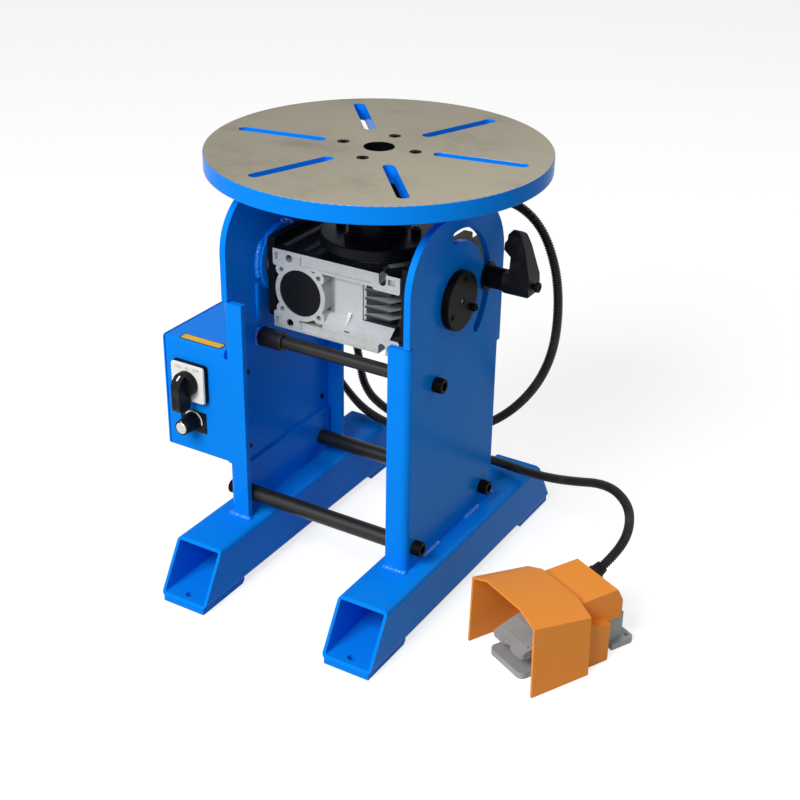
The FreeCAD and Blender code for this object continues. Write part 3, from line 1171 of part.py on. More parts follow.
def gland(seat, direction, bore):
    """A cable gland: hexagon, then a tapering dome, pierced along its axis."""
    hex_len = GLAND_LEN * 0.4
    body = fuse([hexagon(seat, direction, GLAND_D, hex_len),
                 Part.makeCone(GLAND_D / 2, GLAND_D / 2 - 1.5, GLAND_LEN - hex_len, seat + direction * hex_len,
                               direction)])
    return body.cut(rod(seat - direction, direction, bore, GLAND_LEN + 2))


def control_glands():
    """Two conduit glands and the supply gland on the control box's rear."""
    bores = (CONDUIT_D - 4.0, CONDUIT_D - 4.0, CONDUIT_D - 6.0)
    return group([gland(V(x, CTRL_REAR_Y, z), Y, bore) for (x, z), bore in zip(GLAND_PLACES, bores)])


def motor_gland():
    return gland(V(WORM_X + TERMINAL_W / 2, GLAND_Y, GLAND_Z), X, CONDUIT_D - 4.0)


# ---------------------------------------------------------------- conduits

MOTOR_ROUTE = [
    (WORM_X + TERMINAL_W / 2 + GLAND_LEN, GLAND_Y, GLAND_Z), (7, GLAND_Y, GLAND_Z), (37, 162, 418), (72, 155, 446),
    (117, 150, 448), (154, 146, 425), (176, 145, 376), (182, 146, 322), (178, 147, 268), (160, 149, 218),
    (128, 151, 172), (88, 153, 136), (38, 156, 113), (-18, 159, 104), (-70, 163, 108), (-115, 176, 124),
    (-138, 198, 163), (-147, 194, 208), (-149, 171, 240), (-150, 139, GLAND_PLACES[0][1]),
    (GLAND_PLACES[0][0], CTRL_REAR_Y + GLAND_LEN, GLAND_PLACES[0][1])]
PEDAL_ROUTE = [
    (318, 16.7, 76), (328.2, 38.7, 88.7), (328, 70, 103), (311, 104, 114), (271, 132, 116), (215, 136, 100),
    (165, 150, 86), (108, 159.5, 83), (51, 166, 78), (-7, 169.5, 74.5), (-62, 173.5, 80.5), (-104.5, 184, 80.5),
    (-139, 196, 86.5), (-167, 200.5, 108), (-186, 192.5, 138), (-194, 171, 166), (-195, 138, GLAND_PLACES[1][1]),
    (GLAND_PLACES[1][0], CTRL_REAR_Y + GLAND_LEN, GLAND_PLACES[1][1])]
ARC_SHARE = 0.45


def conduit(name, route):
    """A round tube along straight runs joined by the largest arcs that the runs allow."""
    points = [V(*p) for p in route]
    edges, here, radii = [], points[0], []
    for before, corner, after in zip(points, points[1:], points[2:]):
        way_in = (corner - before).normalize()
        way_out = (after - corner).normalize()
        half_turn = way_in.getAngle(way_out) / 2
        trim = ARC_SHARE * min(corner.distanceToPoint(before), corner.distanceToPoint(after))
        radii.append(trim / math.tan(half_turn))
        start, end = corner - way_in * trim, corner + way_out * trim
        bisector = (way_out - way_in).normalize()
        centre = corner + bisector * (radii[-1] / math.cos(half_turn))
        middle = centre - bisector * radii[-1]
        edges.append(Part.LineSegment(here, start).toShape())
        edges.append(Part.Arc(start, middle, end).toShape())
        here = end
    edges.append(Part.LineSegment(here, points[-1]).toShape())
    path = Part.Wire(edges)
    heading = (points[1] - points[0]).normalize()
    section = Part.Wire(Part.makeCircle(CONDUIT_D / 2, points[0], heading))
    solid = path.makePipeShell([section], True, False)
    share = solid.Volume / (math.pi * CONDUIT_D ** 2 / 4 * path.Length)
    print(f"{name}: length {path.Length:.0f}, smallest radius {min(radii):.0f}, volume share {share:.3f}")
    print("  radii", " ".join(f"{r:.0f}" for r in radii))
    return solid


# ---------------------------------------------------------------- foot pedal
# Drawn about its own front left corner: x across, y towards the rear, then turned and set on the floor.

GUARD_MID = GUARD_W / 2
CHAMFER_FOOT_H = 57.0
CHAMFER_SLOPE = 0.525
EAR_T = 5.5
PEDAL_SCREW_D = 5.0
TREADLE_RISE = math.tan(math.radians(TREADLE_SLOPE))


def placed(shape):
    """A pedal piece turned and moved from its own drawing to where the pedal stands."""
    moved = shape.copy()
    stand = FreeCAD.Placement(V(PEDAL_X, PEDAL_Y, 0), FreeCAD.Rotation(Z, PEDAL_YAW))
    moved.Placement = stand.multiply(moved.Placement)
    return moved


def guard_section(y, drop, inset):
    """The guard's cross-section: leaning sides, chamfered shoulders and a flat top."""
    top = GUARD_TOP - drop - inset
    shoulder = GUARD_TOP - GUARD_SHOULDER_DROP - drop - inset * 0.5
    lean = GUARD_DRAFT * (shoulder / (GUARD_TOP - GUARD_SHOULDER_DROP))
    half = GUARD_MID - inset
    flat = half - GUARD_SHOULDER_W - lean + inset * 0.5
    points = [(-half, 0), (-half + lean, shoulder), (-flat, top), (flat, top), (half - lean, shoulder), (half, 0)]
    return Part.makePolygon([V(GUARD_MID + x, y, z) for x, z in points + points[:1]])


def rear_box_solid(inset, front, low):
    """The box behind the guard, with a slanted rear face above for the gland."""
    half = REAR_BOX_W / 2 - inset
    end, top = REAR_BOX_END - inset, REAR_BOX_TOP - inset
    foot = CHAMFER_FOOT_H - inset * 0.5
    outline = [(front, low), (end, low), (end, foot), (end - (top - foot) * CHAMFER_SLOPE, top), (front, top)]
    solid = plate([V(GUARD_MID - half, y, z) for y, z in outline], V(2 * half, 0, 0))
    return solid.makeFillet(max(8.0 - inset, 1.0), edges_along(solid, Z, lambda c: c.y > end - 1))


def bump_solid(inset, low):
    """The lower box that widens the guard's rear, sloping down to the rear."""
    half = BUMP_W / 2 - inset
    end = BUMP_END - inset
    outline = [(GUARD_LEN - 1, low), (end, low), (end, BUMP_TOP - 10.0 - inset), (GUARD_LEN - 1, BUMP_TOP + 4.0 - inset)]
    solid = plate([V(GUARD_MID - half, y, z) for y, z in outline], V(2 * half, 0, 0))
    return solid.makeFillet(6.0, edges_along(solid, Z, lambda c: c.y > end - 1))


def pedal_screw_places():
    return [(GUARD_MID + side * (REAR_BOX_W / 2 - 14.0), REAR_BOX_LOW + 8.0) for side in (-1, 1)]


def pedal_gland_axis():
    start, after = V(*PEDAL_ROUTE[0]), V(*PEDAL_ROUTE[1])
    way = (after - start).normalize()
    return start - way * GLAND_LEN, way


def pedal_guard():
    """The sheet-metal guard over the treadle: an arch open in front, with a box behind it."""
    arch = Part.makeLoft([guard_section(0, 0, 0), guard_section(GUARD_LEN, GUARD_DROP, 0)], True, True)
    room = Part.makeLoft([guard_section(-1, -0.1, GUARD_T),
                          guard_section(GUARD_LEN - GUARD_T, GUARD_DROP * 0.96, GUARD_T)], True, True)
    inner_half = CASTING_W / 2
    solid = fuse([arch, bump_solid(0, 0), rear_box_solid(0, GUARD_LEN - 1, REAR_BOX_LOW)])
    solid = solid.cut(room).cut(bump_solid(GUARD_T, -1)).cut(rear_box_solid(GUARD_T, GUARD_LEN - GUARD_T - 1, -1))
    solid = solid.cut(box(GUARD_MID - GUARD_W, -1, -1, GUARD_MID + GUARD_W, GUARD_LEN + 1, 0))
    solid = solid.cut(box(GUARD_MID - inner_half, GUARD_LEN - GUARD_T - 1, -1,
                          GUARD_MID + inner_half, REAR_BOX_END + 1, REAR_BOX_LOW))
    for x, z in pedal_screw_places():
        solid = solid.cut(rod(V(x, REAR_BOX_END + 1, z), Y * -1, PEDAL_SCREW_D + 2 * HOLE_PLAY, GUARD_T + 2))
    solid = placed(solid)
    seat, way = pedal_gland_axis()
    return solid.cut(rod(seat + way, way * -1, CONDUIT_D, 12.0)).cut(rod(seat, way, GLAND_D * 1.25, 6.0))


def pedal_base():
    """The cast base: a flat sole, a hollow pedestal with two ears for the pin, and a drilled rear foot."""
    half_sole, half = BASE_W / 2, CASTING_W / 2
    sole = box(GUARD_MID - half_sole, BASE_FRONT, 0, GUARD_MID + half_sole, CASTING_FRONT + 1, BASE_T)
    sole = sole.makeFillet(8.0, edges_along(sole, Z, lambda c: c.y < BASE_FRONT + 1))
    foot = box(GUARD_MID - 41, CASTING_END - 22, 0, GUARD_MID + 41, BASE_END, BASE_T)
    foot = foot.makeFillet(6.0, edges_along(foot, Z, lambda c: c.y > BASE_END - 1))
    low_block = box(GUARD_MID - half, CASTING_FRONT, 0, GUARD_MID + half, CASTING_END, REAR_BOX_LOW)
    low_block = low_block.makeFillet(5.0, edges_along(low_block, Z, lambda c: c.y > CASTING_END - 1))
    tower_half = half - 0.5
    tower = box(GUARD_MID - tower_half, CASTING_FRONT, REAR_BOX_LOW, GUARD_MID + tower_half,
                REAR_BOX_END - GUARD_T - 1.0, CHAMFER_FOOT_H - 3.0)
    tower = tower.makeFillet(5.0, edges_along(tower, Z, lambda c: c.y > CASTING_FRONT + 1))
    parts = [sole, foot, low_block, tower]
    front = TREADLE_PIVOT_V - 6.0
    for side in (-1, 1):
        x0, x1 = sorted((GUARD_MID + side * tower_half, GUARD_MID + side * (tower_half - EAR_T)))
        ear = box(x0, front, TREADLE_PIVOT_H - 8.0, x1, CASTING_FRONT + 20.0, TREADLE_PIVOT_H + 8.0)
        parts.append(ear.makeFillet(4.0, edges_along(ear, X, lambda c: c.y < front + 1)))
    body = fuse(parts)
    wall = 5.0
    room = box(GUARD_MID - half + wall, CASTING_FRONT - 1, BASE_T, GUARD_MID + half - wall,
               REAR_BOX_END - GUARD_T - 1.0 - wall, CHAMFER_FOOT_H + 1)
    body = body.cut(room)
    body = body.cut(rod(V(GUARD_MID - half - 1, TREADLE_PIVOT_V, TREADLE_PIVOT_H), X, PIN_D, CASTING_W + 2))
    for side in (-1, 1):
        body = body.cut(rod(V(GUARD_MID + side * 33.0, BASE_END - 6.0, -1), Z, 5.5, BASE_T + 2))
    for x, z in pedal_screw_places():
        body = body.cut(rod(V(x, CASTING_END + 1, z), Y * -1, PEDAL_SCREW_D, CASTING_END + 1 - REAR_BOX_END + 10.0))
    return placed(body)


def pedal_screws():
    return group([placed(cap_screw(V(x, REAR_BOX_END, z), Y * -1, PEDAL_SCREW_D, GUARD_T + 5.0))
                  for x, z in pedal_screw_places()])


def pedal_treadle():
    """The ribbed foot plate, with a sleeve on the pin, a notch in front and a tail behind."""
    half = TREADLE_W / 2
    slope = TREADLE_SLOPE
    front_low = TREADLE_PIVOT_H - (TREADLE_PIVOT_V - TREADLE_FRONT) * TREADLE_RISE - TREADLE_T
    length = (TREADLE_PIVOT_V - TREADLE_FRONT) / math.cos(math.radians(slope))
    board = box(-half, 0, 0, half, length - 3.0, TREADLE_T)
    board = board.makeFillet(5.0, edges_along(board, Z, lambda c: c.y < 1))
    parts = [board]
    for side in (-1, 1):
        x0, x1 = sorted((side * half, side * (half - 3.0)))
        parts.append(box(x0, 8.0, -5.0, x1, length - 3.0, 1.0))
    flat = fuse(parts).cut(rod(V(0, -6.0, -1), Z, 20.0, TREADLE_T + 2))
    rib_count = int((length - 22.0) / RIB_PITCH)
    ribs = [box(-half + 4.0, 6.0 + RIB_PITCH * i, TREADLE_T - 0.5, half - 4.0, 9.0 + RIB_PITCH * i, TREADLE_T + RIB_H)
            for i in range(rib_count)]
    flat = fuse([flat] + ribs[1:])
    flat.rotate(V(0, 0, 0), X, slope)
    flat.translate(V(GUARD_MID, TREADLE_FRONT, front_low))
    pivot = V(GUARD_MID - half, TREADLE_PIVOT_V, TREADLE_PIVOT_H)
    sleeve = rod(pivot, X, PIN_D * 2, TREADLE_W)
    tail = box(GUARD_MID - 8.0, TREADLE_PIVOT_V, TREADLE_PIVOT_H - 4.0, GUARD_MID + 8.0, TREADLE_PIVOT_V + 26.0,
               TREADLE_PIVOT_H)
    body = fuse([flat, sleeve, tail])
    return placed(body.cut(rod(pivot - X, X, PIN_D + 2 * RUN_GAP, TREADLE_W + 2)))


def pedal_pin():
    half = CASTING_W / 2 - 0.5
    return placed(rod(V(GUARD_MID - half, TREADLE_PIVOT_V, TREADLE_PIVOT_H), X, PIN_D, 2 * half))


SPRING_V = 60.0
SPRING_D = 12.0
SPRING_WIRE = 1.6
SPRING_TURNS = 5


def pedal_spring():
    """The coil spring under the treadle."""
    under = TREADLE_PIVOT_H - (TREADLE_PIVOT_V - SPRING_V) * TREADLE_RISE - TREADLE_T / math.cos(
        math.radians(TREADLE_SLOPE))
    low = BASE_T + SPRING_WIRE / 2
    high = under - SPRING_WIRE / 2 - 3.2
    radius = (SPRING_D - SPRING_WIRE) / 2
    helix = Part.makeHelix((high - low) / SPRING_TURNS, high - low, radius)
    ring = Part.Wire(Part.makeCircle(SPRING_WIRE / 2, V(radius, 0, 0), Y))
    coil = Part.Wire(helix.Edges).makePipeShell([ring], True, True)
    coil.translate(V(GUARD_MID, SPRING_V, low))
    return placed(coil)


def pedal_switch():
    """The switch block above the treadle's tail, between the pedestal's walls."""
    half = CASTING_W / 2 - 5.0
    low = TREADLE_PIVOT_H + 4.0
    block = box(GUARD_MID - 16.0, TREADLE_PIVOT_V + 14.0, low, GUARD_MID + 16.0, TREADLE_PIVOT_V + 36.0, low + 18.0)
    shelf = box(GUARD_MID - half, TREADLE_PIVOT_V + 37.0, low - 8.0, GUARD_MID + half, TREADLE_PIVOT_V + 39.0, low - 3.0)
    arm = box(GUARD_MID - 16.0, TREADLE_PIVOT_V + 30.0, low - 8.0, GUARD_MID + 16.0, TREADLE_PIVOT_V + 38.0, low + 1.0)
    return placed(fuse([block, shelf, arm]))


def pedal_gland():
    seat, way = pedal_gland_axis()
    return gland(seat, way, CONDUIT_D - 4.0)


# ---------------------------------------------------------------- export

def nodes():
    spacer_inner, washer, spacer_outer = clamp_spacers()
    left_plate = side_plate(LEFT_SIDE_X, rod(V(LEFT_SIDE_X - 1, TILT_Y, TILT_Z), X, SPIGOT_IN_PLATE_D, SIDE_T + 2))
    stud_hole = rod(stud_point(BOX_RIGHT_X - 1), X, STUD_D, SIDE_T + 2)
    right_hole = rod(V(BOX_RIGHT_X - 1, TILT_Y, TILT_Z), X, SPIGOT_IN_PLATE_D, SIDE_T + 2)
    right_plate = side_plate(BOX_RIGHT_X, group([right_hole, stud_hole]), stud_ear())
    lower_bars = [tie_bar(bar, BAR_D, CHEEK_IN_X - STRIP_T, CHEEK_IN_X - STRIP_T) for bar in (FRONT_BAR, REAR_BAR)]
    return {
        "left_rail": rail(-1),
        "right_rail": rail(1),
        "foot_pads": foot_pads(),
        "left_cheek": cheek(-1),
        "right_cheek": cheek(1),
        "base_strips": base_strips(),
        "lower_tie_bars": group(lower_bars),
        "upper_tie_bar": tie_bar(UPPER_BAR, UPPER_BAR_D, CHEEK_IN_X, CHEEK_IN_X),
        "tie_bar_screws": tie_bar_screws(),
        "bar_collar": bar_collar(),
        "bearing_rings": group([bearing_ring(-1), bearing_ring(1)]),
        "trunnion_bushes": group([trunnion_bush(-1), trunnion_bush(1)]),
        "stop_rib": stop_rib(),
        "trunnion_shafts": group([trunnion_shaft(-1, -LEFT_SIDE_X), trunnion_shaft(1, RIGHT_SIDE_X)]),
        "trunnion_discs": group([trunnion_disc(-1), trunnion_disc(1)]),
        "disc_screws": disc_screws(),
        "left_side_plate": left_plate,
        "right_side_plate": right_plate,
        "rear_plate": rear_plate(),
        "cradle_screws": cradle_screws(),
        "gearbox_housing": gearbox_housing(),
        "worm_cap": worm_cap(),
        "worm_bearings": worm_bearings(),
        "output_bearings": output_bearings(),
        "output_seals": output_seals(),
        "spindle_cover": spindle_cover(),
        "bearing_housing": bearing_housing(),
        "housing_screws": housing_screws(),
        "motor_flange": motor_flange(),
        "motor_body": motor_body(),
        "motor_end_cap": motor_end_cap(),
        "terminal_box": fuse([terminal_box(), terminal_lid()]),
        "motor_gland": motor_gland(),
        "worm_shaft": worm_shaft(),
        "worm_wheel": worm_wheel(),
        "table_hub": table_hub(),
        "table_plate": table_plate(),
        "table_screws": table_screws(),
        "clamp_stud": clamp_stud(),
        "clamp_sleeves": group([spacer_inner, spacer_outer]),
        "clamp_washer": washer,
        "clamp_insert": fuse([clamp_insert(), clamp_retaining_screw()]),
        "clamp_handle": clamp_handle(),
        "control_box": control_box_shell(),
        "control_box_cover": control_box_cover(),
        "cover_screws": cover_screws(),
        "control_box_screws": control_box_screws(),
        "control_electronics": group([fuse([control_board(), heat_sink()]), terminal_block(), speed_pot()]),
        "switch_body": fuse([switch_body(), switch_dial()]),
        "switch_handle": switch_handle(),
        "speed_scale": speed_scale(),
        "speed_knob": fuse([speed_knob(), speed_knob_cap()]),
        "cable_glands": group([control_glands(), pedal_gland()]),
        "motor_conduit": conduit("motor conduit", MOTOR_ROUTE),
        "pedal_conduit": conduit("pedal conduit", PEDAL_ROUTE),
        "pedal_base": pedal_base(),
        "pedal_guard": pedal_guard(),
        "pedal_treadle": pedal_treadle(),
        "pedal_works": group([pedal_pin(), pedal_switch(), pedal_screws()]),
        "pedal_spring": pedal_spring(),
    }


os.makedirs("parts", exist_ok=True)
for name, shape in nodes().items():
    shape.exportStep(f"parts/{name}.step")
    print(f"{name}: {len(shape.Solids)} solids, valid {shape.isValid()}, volume {shape.Volume / 1000:.1f} cm3")
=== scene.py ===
"""Dresses the welding positioner: paint, castings, machined steel, moulded plastic and its two conduits."""
import json
import math

import bpy
from bpy.props import FloatProperty, FloatVectorProperty, PointerProperty
from mathutils import Matrix, Vector


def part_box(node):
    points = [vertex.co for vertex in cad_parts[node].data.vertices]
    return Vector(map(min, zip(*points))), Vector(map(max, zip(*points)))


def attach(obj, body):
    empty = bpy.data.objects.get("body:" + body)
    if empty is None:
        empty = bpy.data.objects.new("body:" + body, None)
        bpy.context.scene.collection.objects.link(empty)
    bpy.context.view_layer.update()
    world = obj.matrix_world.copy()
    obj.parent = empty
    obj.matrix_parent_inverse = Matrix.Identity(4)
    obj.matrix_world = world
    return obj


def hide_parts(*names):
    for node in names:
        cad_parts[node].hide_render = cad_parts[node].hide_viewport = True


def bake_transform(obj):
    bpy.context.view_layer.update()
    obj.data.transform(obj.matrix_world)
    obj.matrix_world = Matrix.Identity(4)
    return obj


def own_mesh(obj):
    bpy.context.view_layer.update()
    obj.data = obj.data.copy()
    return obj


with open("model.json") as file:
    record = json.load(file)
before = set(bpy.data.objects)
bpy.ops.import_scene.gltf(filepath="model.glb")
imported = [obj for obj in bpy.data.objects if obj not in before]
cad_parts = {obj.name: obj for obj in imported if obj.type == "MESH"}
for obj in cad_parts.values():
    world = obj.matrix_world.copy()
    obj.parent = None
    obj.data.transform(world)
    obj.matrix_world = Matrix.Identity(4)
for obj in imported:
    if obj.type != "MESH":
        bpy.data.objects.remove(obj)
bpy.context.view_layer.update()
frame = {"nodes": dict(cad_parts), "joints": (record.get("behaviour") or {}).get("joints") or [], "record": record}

bl_info = {
    "name": "Welding Positioner Finish",
    "version": (1, 0, 0),
    "blender": (4, 5, 0),
    "location": "View3D > Sidebar > Positioner",
    "description": "Finishes the parts of a tilting welding positioner",
    "category": "Object",
}

MM = 0.001
NODES = frame["nodes"]
JOINTS = {joint["name"]: joint for joint in frame["joints"]}
TILT = Vector(JOINTS["tilt"]["pos_m"])
SPIN = Vector(JOINTS["table_spin"]["pos_m"])
SWITCH = Vector(JOINTS["switch_turn"]["pos_m"])
SPEED = Vector(JOINTS["speed_turn"]["pos_m"])
BODY_OF = {node: body for body, nodes in frame["record"]["behaviour"]["bodies"].items() for node in nodes}
TABLE_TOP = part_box("table_plate")[1][2]

# Welds: stitches along Y outside and inside each cheek's foot, and beads round its ring in degrees from +Y.
OUTER_STITCHES = ((-73 * MM, -42 * MM), (28 * MM, 58 * MM))
INNER_STITCHES = ((-21 * MM, 8 * MM), (56 * MM, 76 * MM))
RING_BEADS = ((20, 75), (140, 195), (255, 310))
BEAD_STANDOFF = 0.5 * MM
BEAD_SWELL = 0.14

# Gearbox: how far its blackened troughs lie below the deck, and the room between its fins, whose casting is given
# painted shade.
DECK_SKIN = 0.6 * MM
DECK_DEPTH = 14 * MM
FINS_FROM_X = 19 * MM
FINS_FRONT_Y = -46.5 * MM
FINS_REAR_Y = -12 * MM
FINS_LOW_Z = 325 * MM
FINS_DROP = 18 * MM
FOOT_SCREW_INSET = 23 * MM
FOOT_SCREW_RISE = 9 * MM
FOOT_SCREW_R = 4.5 * MM

# Table: its paint starts outside this radius, the hub's seat inside it is blackened.
BARE_SEAT_R = 60 * MM

# Control box: the lap that closes its seam with the cheek, the strip on its top, and the printed marks.
LAP_SIZE = (8.4 * MM, 1.6 * MM)
LAP_TOP = 286 * MM
STRIP_X = -165 * MM
STRIP_SIZE = (62 * MM, 14 * MM)
STRIP_BORDER = 1.5 * MM
STRIP_T = 0.3 * MM
DIAL_T = 2 * MM
DIAL_WORDS = (("ON", -14 * MM), ("0", 0.0), ("OFF", 14 * MM))
WORD_RISE = 19 * MM
WORD_HEIGHT = 6 * MM
HANDLE_MARK_AT = (-16.3 * MM, 12.8 * MM)
HANDLE_SLOPE = math.atan2(5, 8)
KNOB_CAP_DEPTH = 1.2 * MM
KNOB_MARK_RISE = 8.6 * MM
SPEED_ARC_R = 13.0 * MM
SPEED_ARC_W = 1.8 * MM
SPEED_ARC_TURN = (-15, 150)


def linear(code):
    """A colour written as six hex digits, as linear values."""
    parts = [int(code[i:i + 2], 16) / 255 for i in (0, 2, 4)]
    return tuple(c / 12.92 if c <= 0.04045 else ((c + 0.055) / 1.055) ** 2.4 for c in parts)


# ---------------------------------------------------------------- settings

class FinishColours(bpy.types.PropertyGroup):
    """The colours of the finishes."""
    enamel: FloatVectorProperty(name="Blue enamel", description="Paint of the frame, feet and control box",
                                subtype="COLOR", size=3, default=linear("0688F4"))
    guard: FloatVectorProperty(name="Orange guard", description="Pedal guard", subtype="COLOR", size=3,
                               default=linear("FF9C36"))
    turned: FloatVectorProperty(name="Table face", description="Turned face of the table", subtype="COLOR",
                                size=3, default=linear("98907C"))
    cast: FloatVectorProperty(name="Cast aluminium", description="Gearbox casting", subtype="COLOR", size=3,
                              default=linear("C6C9C8"))
    grey: FloatVectorProperty(name="Grey casting", description="Pedal base and treadle", subtype="COLOR",
                              size=3, default=linear("A9ADAF"))


class CameraSettings(bpy.types.PropertyGroup):
    """Where the machine is seen from."""
    place: FloatVectorProperty(name="Place", description="Camera position", subtype="TRANSLATION",
                               unit="LENGTH", size=3, default=(0.8280, -1.3305, 1.0301))
    azimuth: FloatProperty(name="Azimuth", description="Turn about the vertical", subtype="ANGLE",
                           default=math.radians(30.63))
    elevation: FloatProperty(name="Elevation", description="Angle above the floor", subtype="ANGLE",
                             default=math.radians(27.44))
    roll: FloatProperty(name="Roll", description="Turn about the line of sight", subtype="ANGLE",
                        default=math.radians(0.92))
    lens: FloatProperty(name="Lens", description="Focal length in millimetres", subtype="DISTANCE_CAMERA",
                        default=64.72)


class EdgeSizes(bpy.types.PropertyGroup):
    """How far edges are rounded."""
    plate: FloatProperty(name="Plate edge", description="Rounding of painted plate edges", unit="LENGTH",
                         default=0.9 * MM, min=0.0)
    casting: FloatProperty(name="Casting edge", description="Rounding of cast edges", unit="LENGTH",
                           default=0.8 * MM, min=0.0)
    turned: FloatProperty(name="Turned edge", description="Rounding of machined edges", unit="LENGTH",
                          default=0.4 * MM, min=0.0)
    moulded: FloatProperty(name="Moulded edge", description="Rounding of plastic edges", unit="LENGTH",
                           default=0.7 * MM, min=0.0)


class ConduitSizes(bpy.types.PropertyGroup):
    """The ribbed conduits."""
    diameter: FloatProperty(name="Diameter", description="Outside diameter", unit="LENGTH", default=12 * MM)
    pitch: FloatProperty(name="Rib pitch", description="From rib to rib", unit="LENGTH", default=3.2 * MM)
    groove: FloatProperty(name="Groove depth", description="Depth of the groove between ribs", unit="LENGTH",
                          default=1.1 * MM)


class WeldSizes(bpy.types.PropertyGroup):
    """The weld beads."""
    width: FloatProperty(name="Bead width", description="Width of a fillet bead", unit="LENGTH",
                         default=9.0 * MM)
    ripple: FloatProperty(name="Ripple", description="From ripple to ripple", unit="LENGTH", default=4.2 * MM)
    grain: FloatProperty(name="Melt size", description="Size below which ripples melt together",
                         unit="LENGTH", default=0.7 * MM)


SETTINGS = {"positioner_colours": FinishColours, "positioner_camera": CameraSettings,
            "positioner_edges": EdgeSizes, "positioner_conduit": ConduitSizes, "positioner_weld": WeldSizes}


def settings(name):
    """One of the groups of settings above."""
    return getattr(bpy.context.scene, "positioner_" + name)


# ---------------------------------------------------------------- shader groups

def add_node(tree, kind, **values):
    """A node with its properties and unlinked inputs set."""
    node = tree.nodes.new("ShaderNode" + kind)
    for key, value in values.items():
        if hasattr(node, key):
            setattr(node, key, value)
        else:
            node.inputs[key.replace("_", " ")].default_value = value
    return node


def maths(tree, operation, first, second=None, third=None, clamp=False):
    """A Math node fed by numbers or sockets; returns its output."""
    node = add_node(tree, "Math", operation=operation, use_clamp=clamp)
    for socket, value in zip(node.inputs, (first, second, third)):
        if isinstance(value, bpy.types.NodeSocket):
            tree.links.new(value, socket)
        elif value is not None:
            socket.default_value = value
    return node.outputs[0]


def ranged(tree, value, low, high, out_low, out_high, smooth=False):
    """A value mapped from one range to another; returns the output."""
    node = add_node(tree, "MapRange", interpolation_type="SMOOTHSTEP" if smooth else "LINEAR")
    tree.links.new(value, node.inputs["Value"])
    for name, number in (("From Min", low), ("From Max", high), ("To Min", out_low), ("To Max", out_high)):
        if isinstance(number, bpy.types.NodeSocket):
            tree.links.new(number, node.inputs[name])
        else:
            node.inputs[name].default_value = number
    return node.outputs["Result"]


def noise(tree, vector, scale, detail=2.0, roughness=0.5):
    """A noise texture; its scale may be a number or a socket."""
    node = add_node(tree, "TexNoise", Detail=detail, Roughness=roughness)
    tree.links.new(vector, node.inputs["Vector"])
    if isinstance(scale, bpy.types.NodeSocket):
        tree.links.new(scale, node.inputs["Scale"])
    else:
        node.inputs["Scale"].default_value = scale
    return node.outputs["Fac"]


def mixed(tree, factor, first, second):
    """Two colours mixed by a mask; returns the colour."""
    node = add_node(tree, "Mix", data_type="RGBA", blend_type="MIX")
    for socket, value in ((node.inputs[0], factor), (node.inputs[6], first), (node.inputs[7], second)):
        if isinstance(value, bpy.types.NodeSocket):
            tree.links.new(value, socket)
        elif isinstance(value, (int, float)):
            socket.default_value = value
        else:
            socket.default_value = (*value[:3], 1.0)
    return node.outputs[2]


def bumped(tree, height, distance):
    """A normal raised by a height; the distance may be a number or a socket."""
    node = add_node(tree, "Bump", Strength=1.0)
    tree.links.new(height, node.inputs["Height"])
    if isinstance(distance, bpy.types.NodeSocket):
        tree.links.new(distance, node.inputs["Distance"])
    else:
        node.inputs["Distance"].default_value = distance
    return node.outputs["Normal"]


def new_group(name, inputs, outputs):
    """An empty node group with named sockets."""
    group = bpy.data.node_groups.new(name, "ShaderNodeTree")
    for label, kind, default in inputs:
        socket = group.interface.new_socket(name=label, in_out="INPUT", socket_type="NodeSocket" + kind)
        socket.default_value = (*default[:3], 1.0) if kind == "Color" else default
    for label, kind in outputs:
        group.interface.new_socket(name=label, in_out="OUTPUT", socket_type="NodeSocket" + kind)
    return group, group.nodes.new("NodeGroupInput").outputs, group.nodes.new("NodeGroupOutput").inputs


def enamel_group():
    """Sprayed enamel: a soft orange peel, slightly uneven gloss and a few specks of dust."""
    tree, given, result = new_group(
        "Enamel", [("Colour", "Color", (0.02, 0.2, 0.7)), ("Peel Size", "Float", 260.0),
                   ("Peel Depth", "Float", 0.00012), ("Gloss", "Float", 0.22), ("Unevenness", "Float", 0.06)],
        [("Colour", "Color"), ("Roughness", "Float"), ("Normal", "Vector")])
    where = add_node(tree, "TexCoord").outputs["Object"]
    peel = noise(tree, where, given["Peel Size"], 1.5)
    wave = noise(tree, where, 38.0, 1.0)
    cloud = noise(tree, where, 9.0, 3.0)
    speck = noise(tree, where, 900.0, 2.0)
    shade = maths(tree, "MULTIPLY_ADD", maths(tree, "SUBTRACT", cloud, 0.5), given["Unevenness"], 1.0)
    hue = add_node(tree, "HueSaturation")
    tree.links.new(given["Colour"], hue.inputs["Color"])
    tree.links.new(shade, hue.inputs["Value"])
    dust = ranged(tree, speck, 0.62, 0.8, 0.0, 0.05)
    tree.links.new(mixed(tree, dust, hue.outputs["Color"], (0.5, 0.5, 0.5)), result["Colour"])
    rough = maths(tree, "MULTIPLY_ADD", cloud, 0.12, given["Gloss"])
    tree.links.new(maths(tree, "ADD", rough, dust), result["Roughness"])
    height = maths(tree, "MULTIPLY_ADD", wave, 1.6, peel)
    tree.links.new(bumped(tree, height, given["Peel Depth"]), result["Normal"])
    return tree


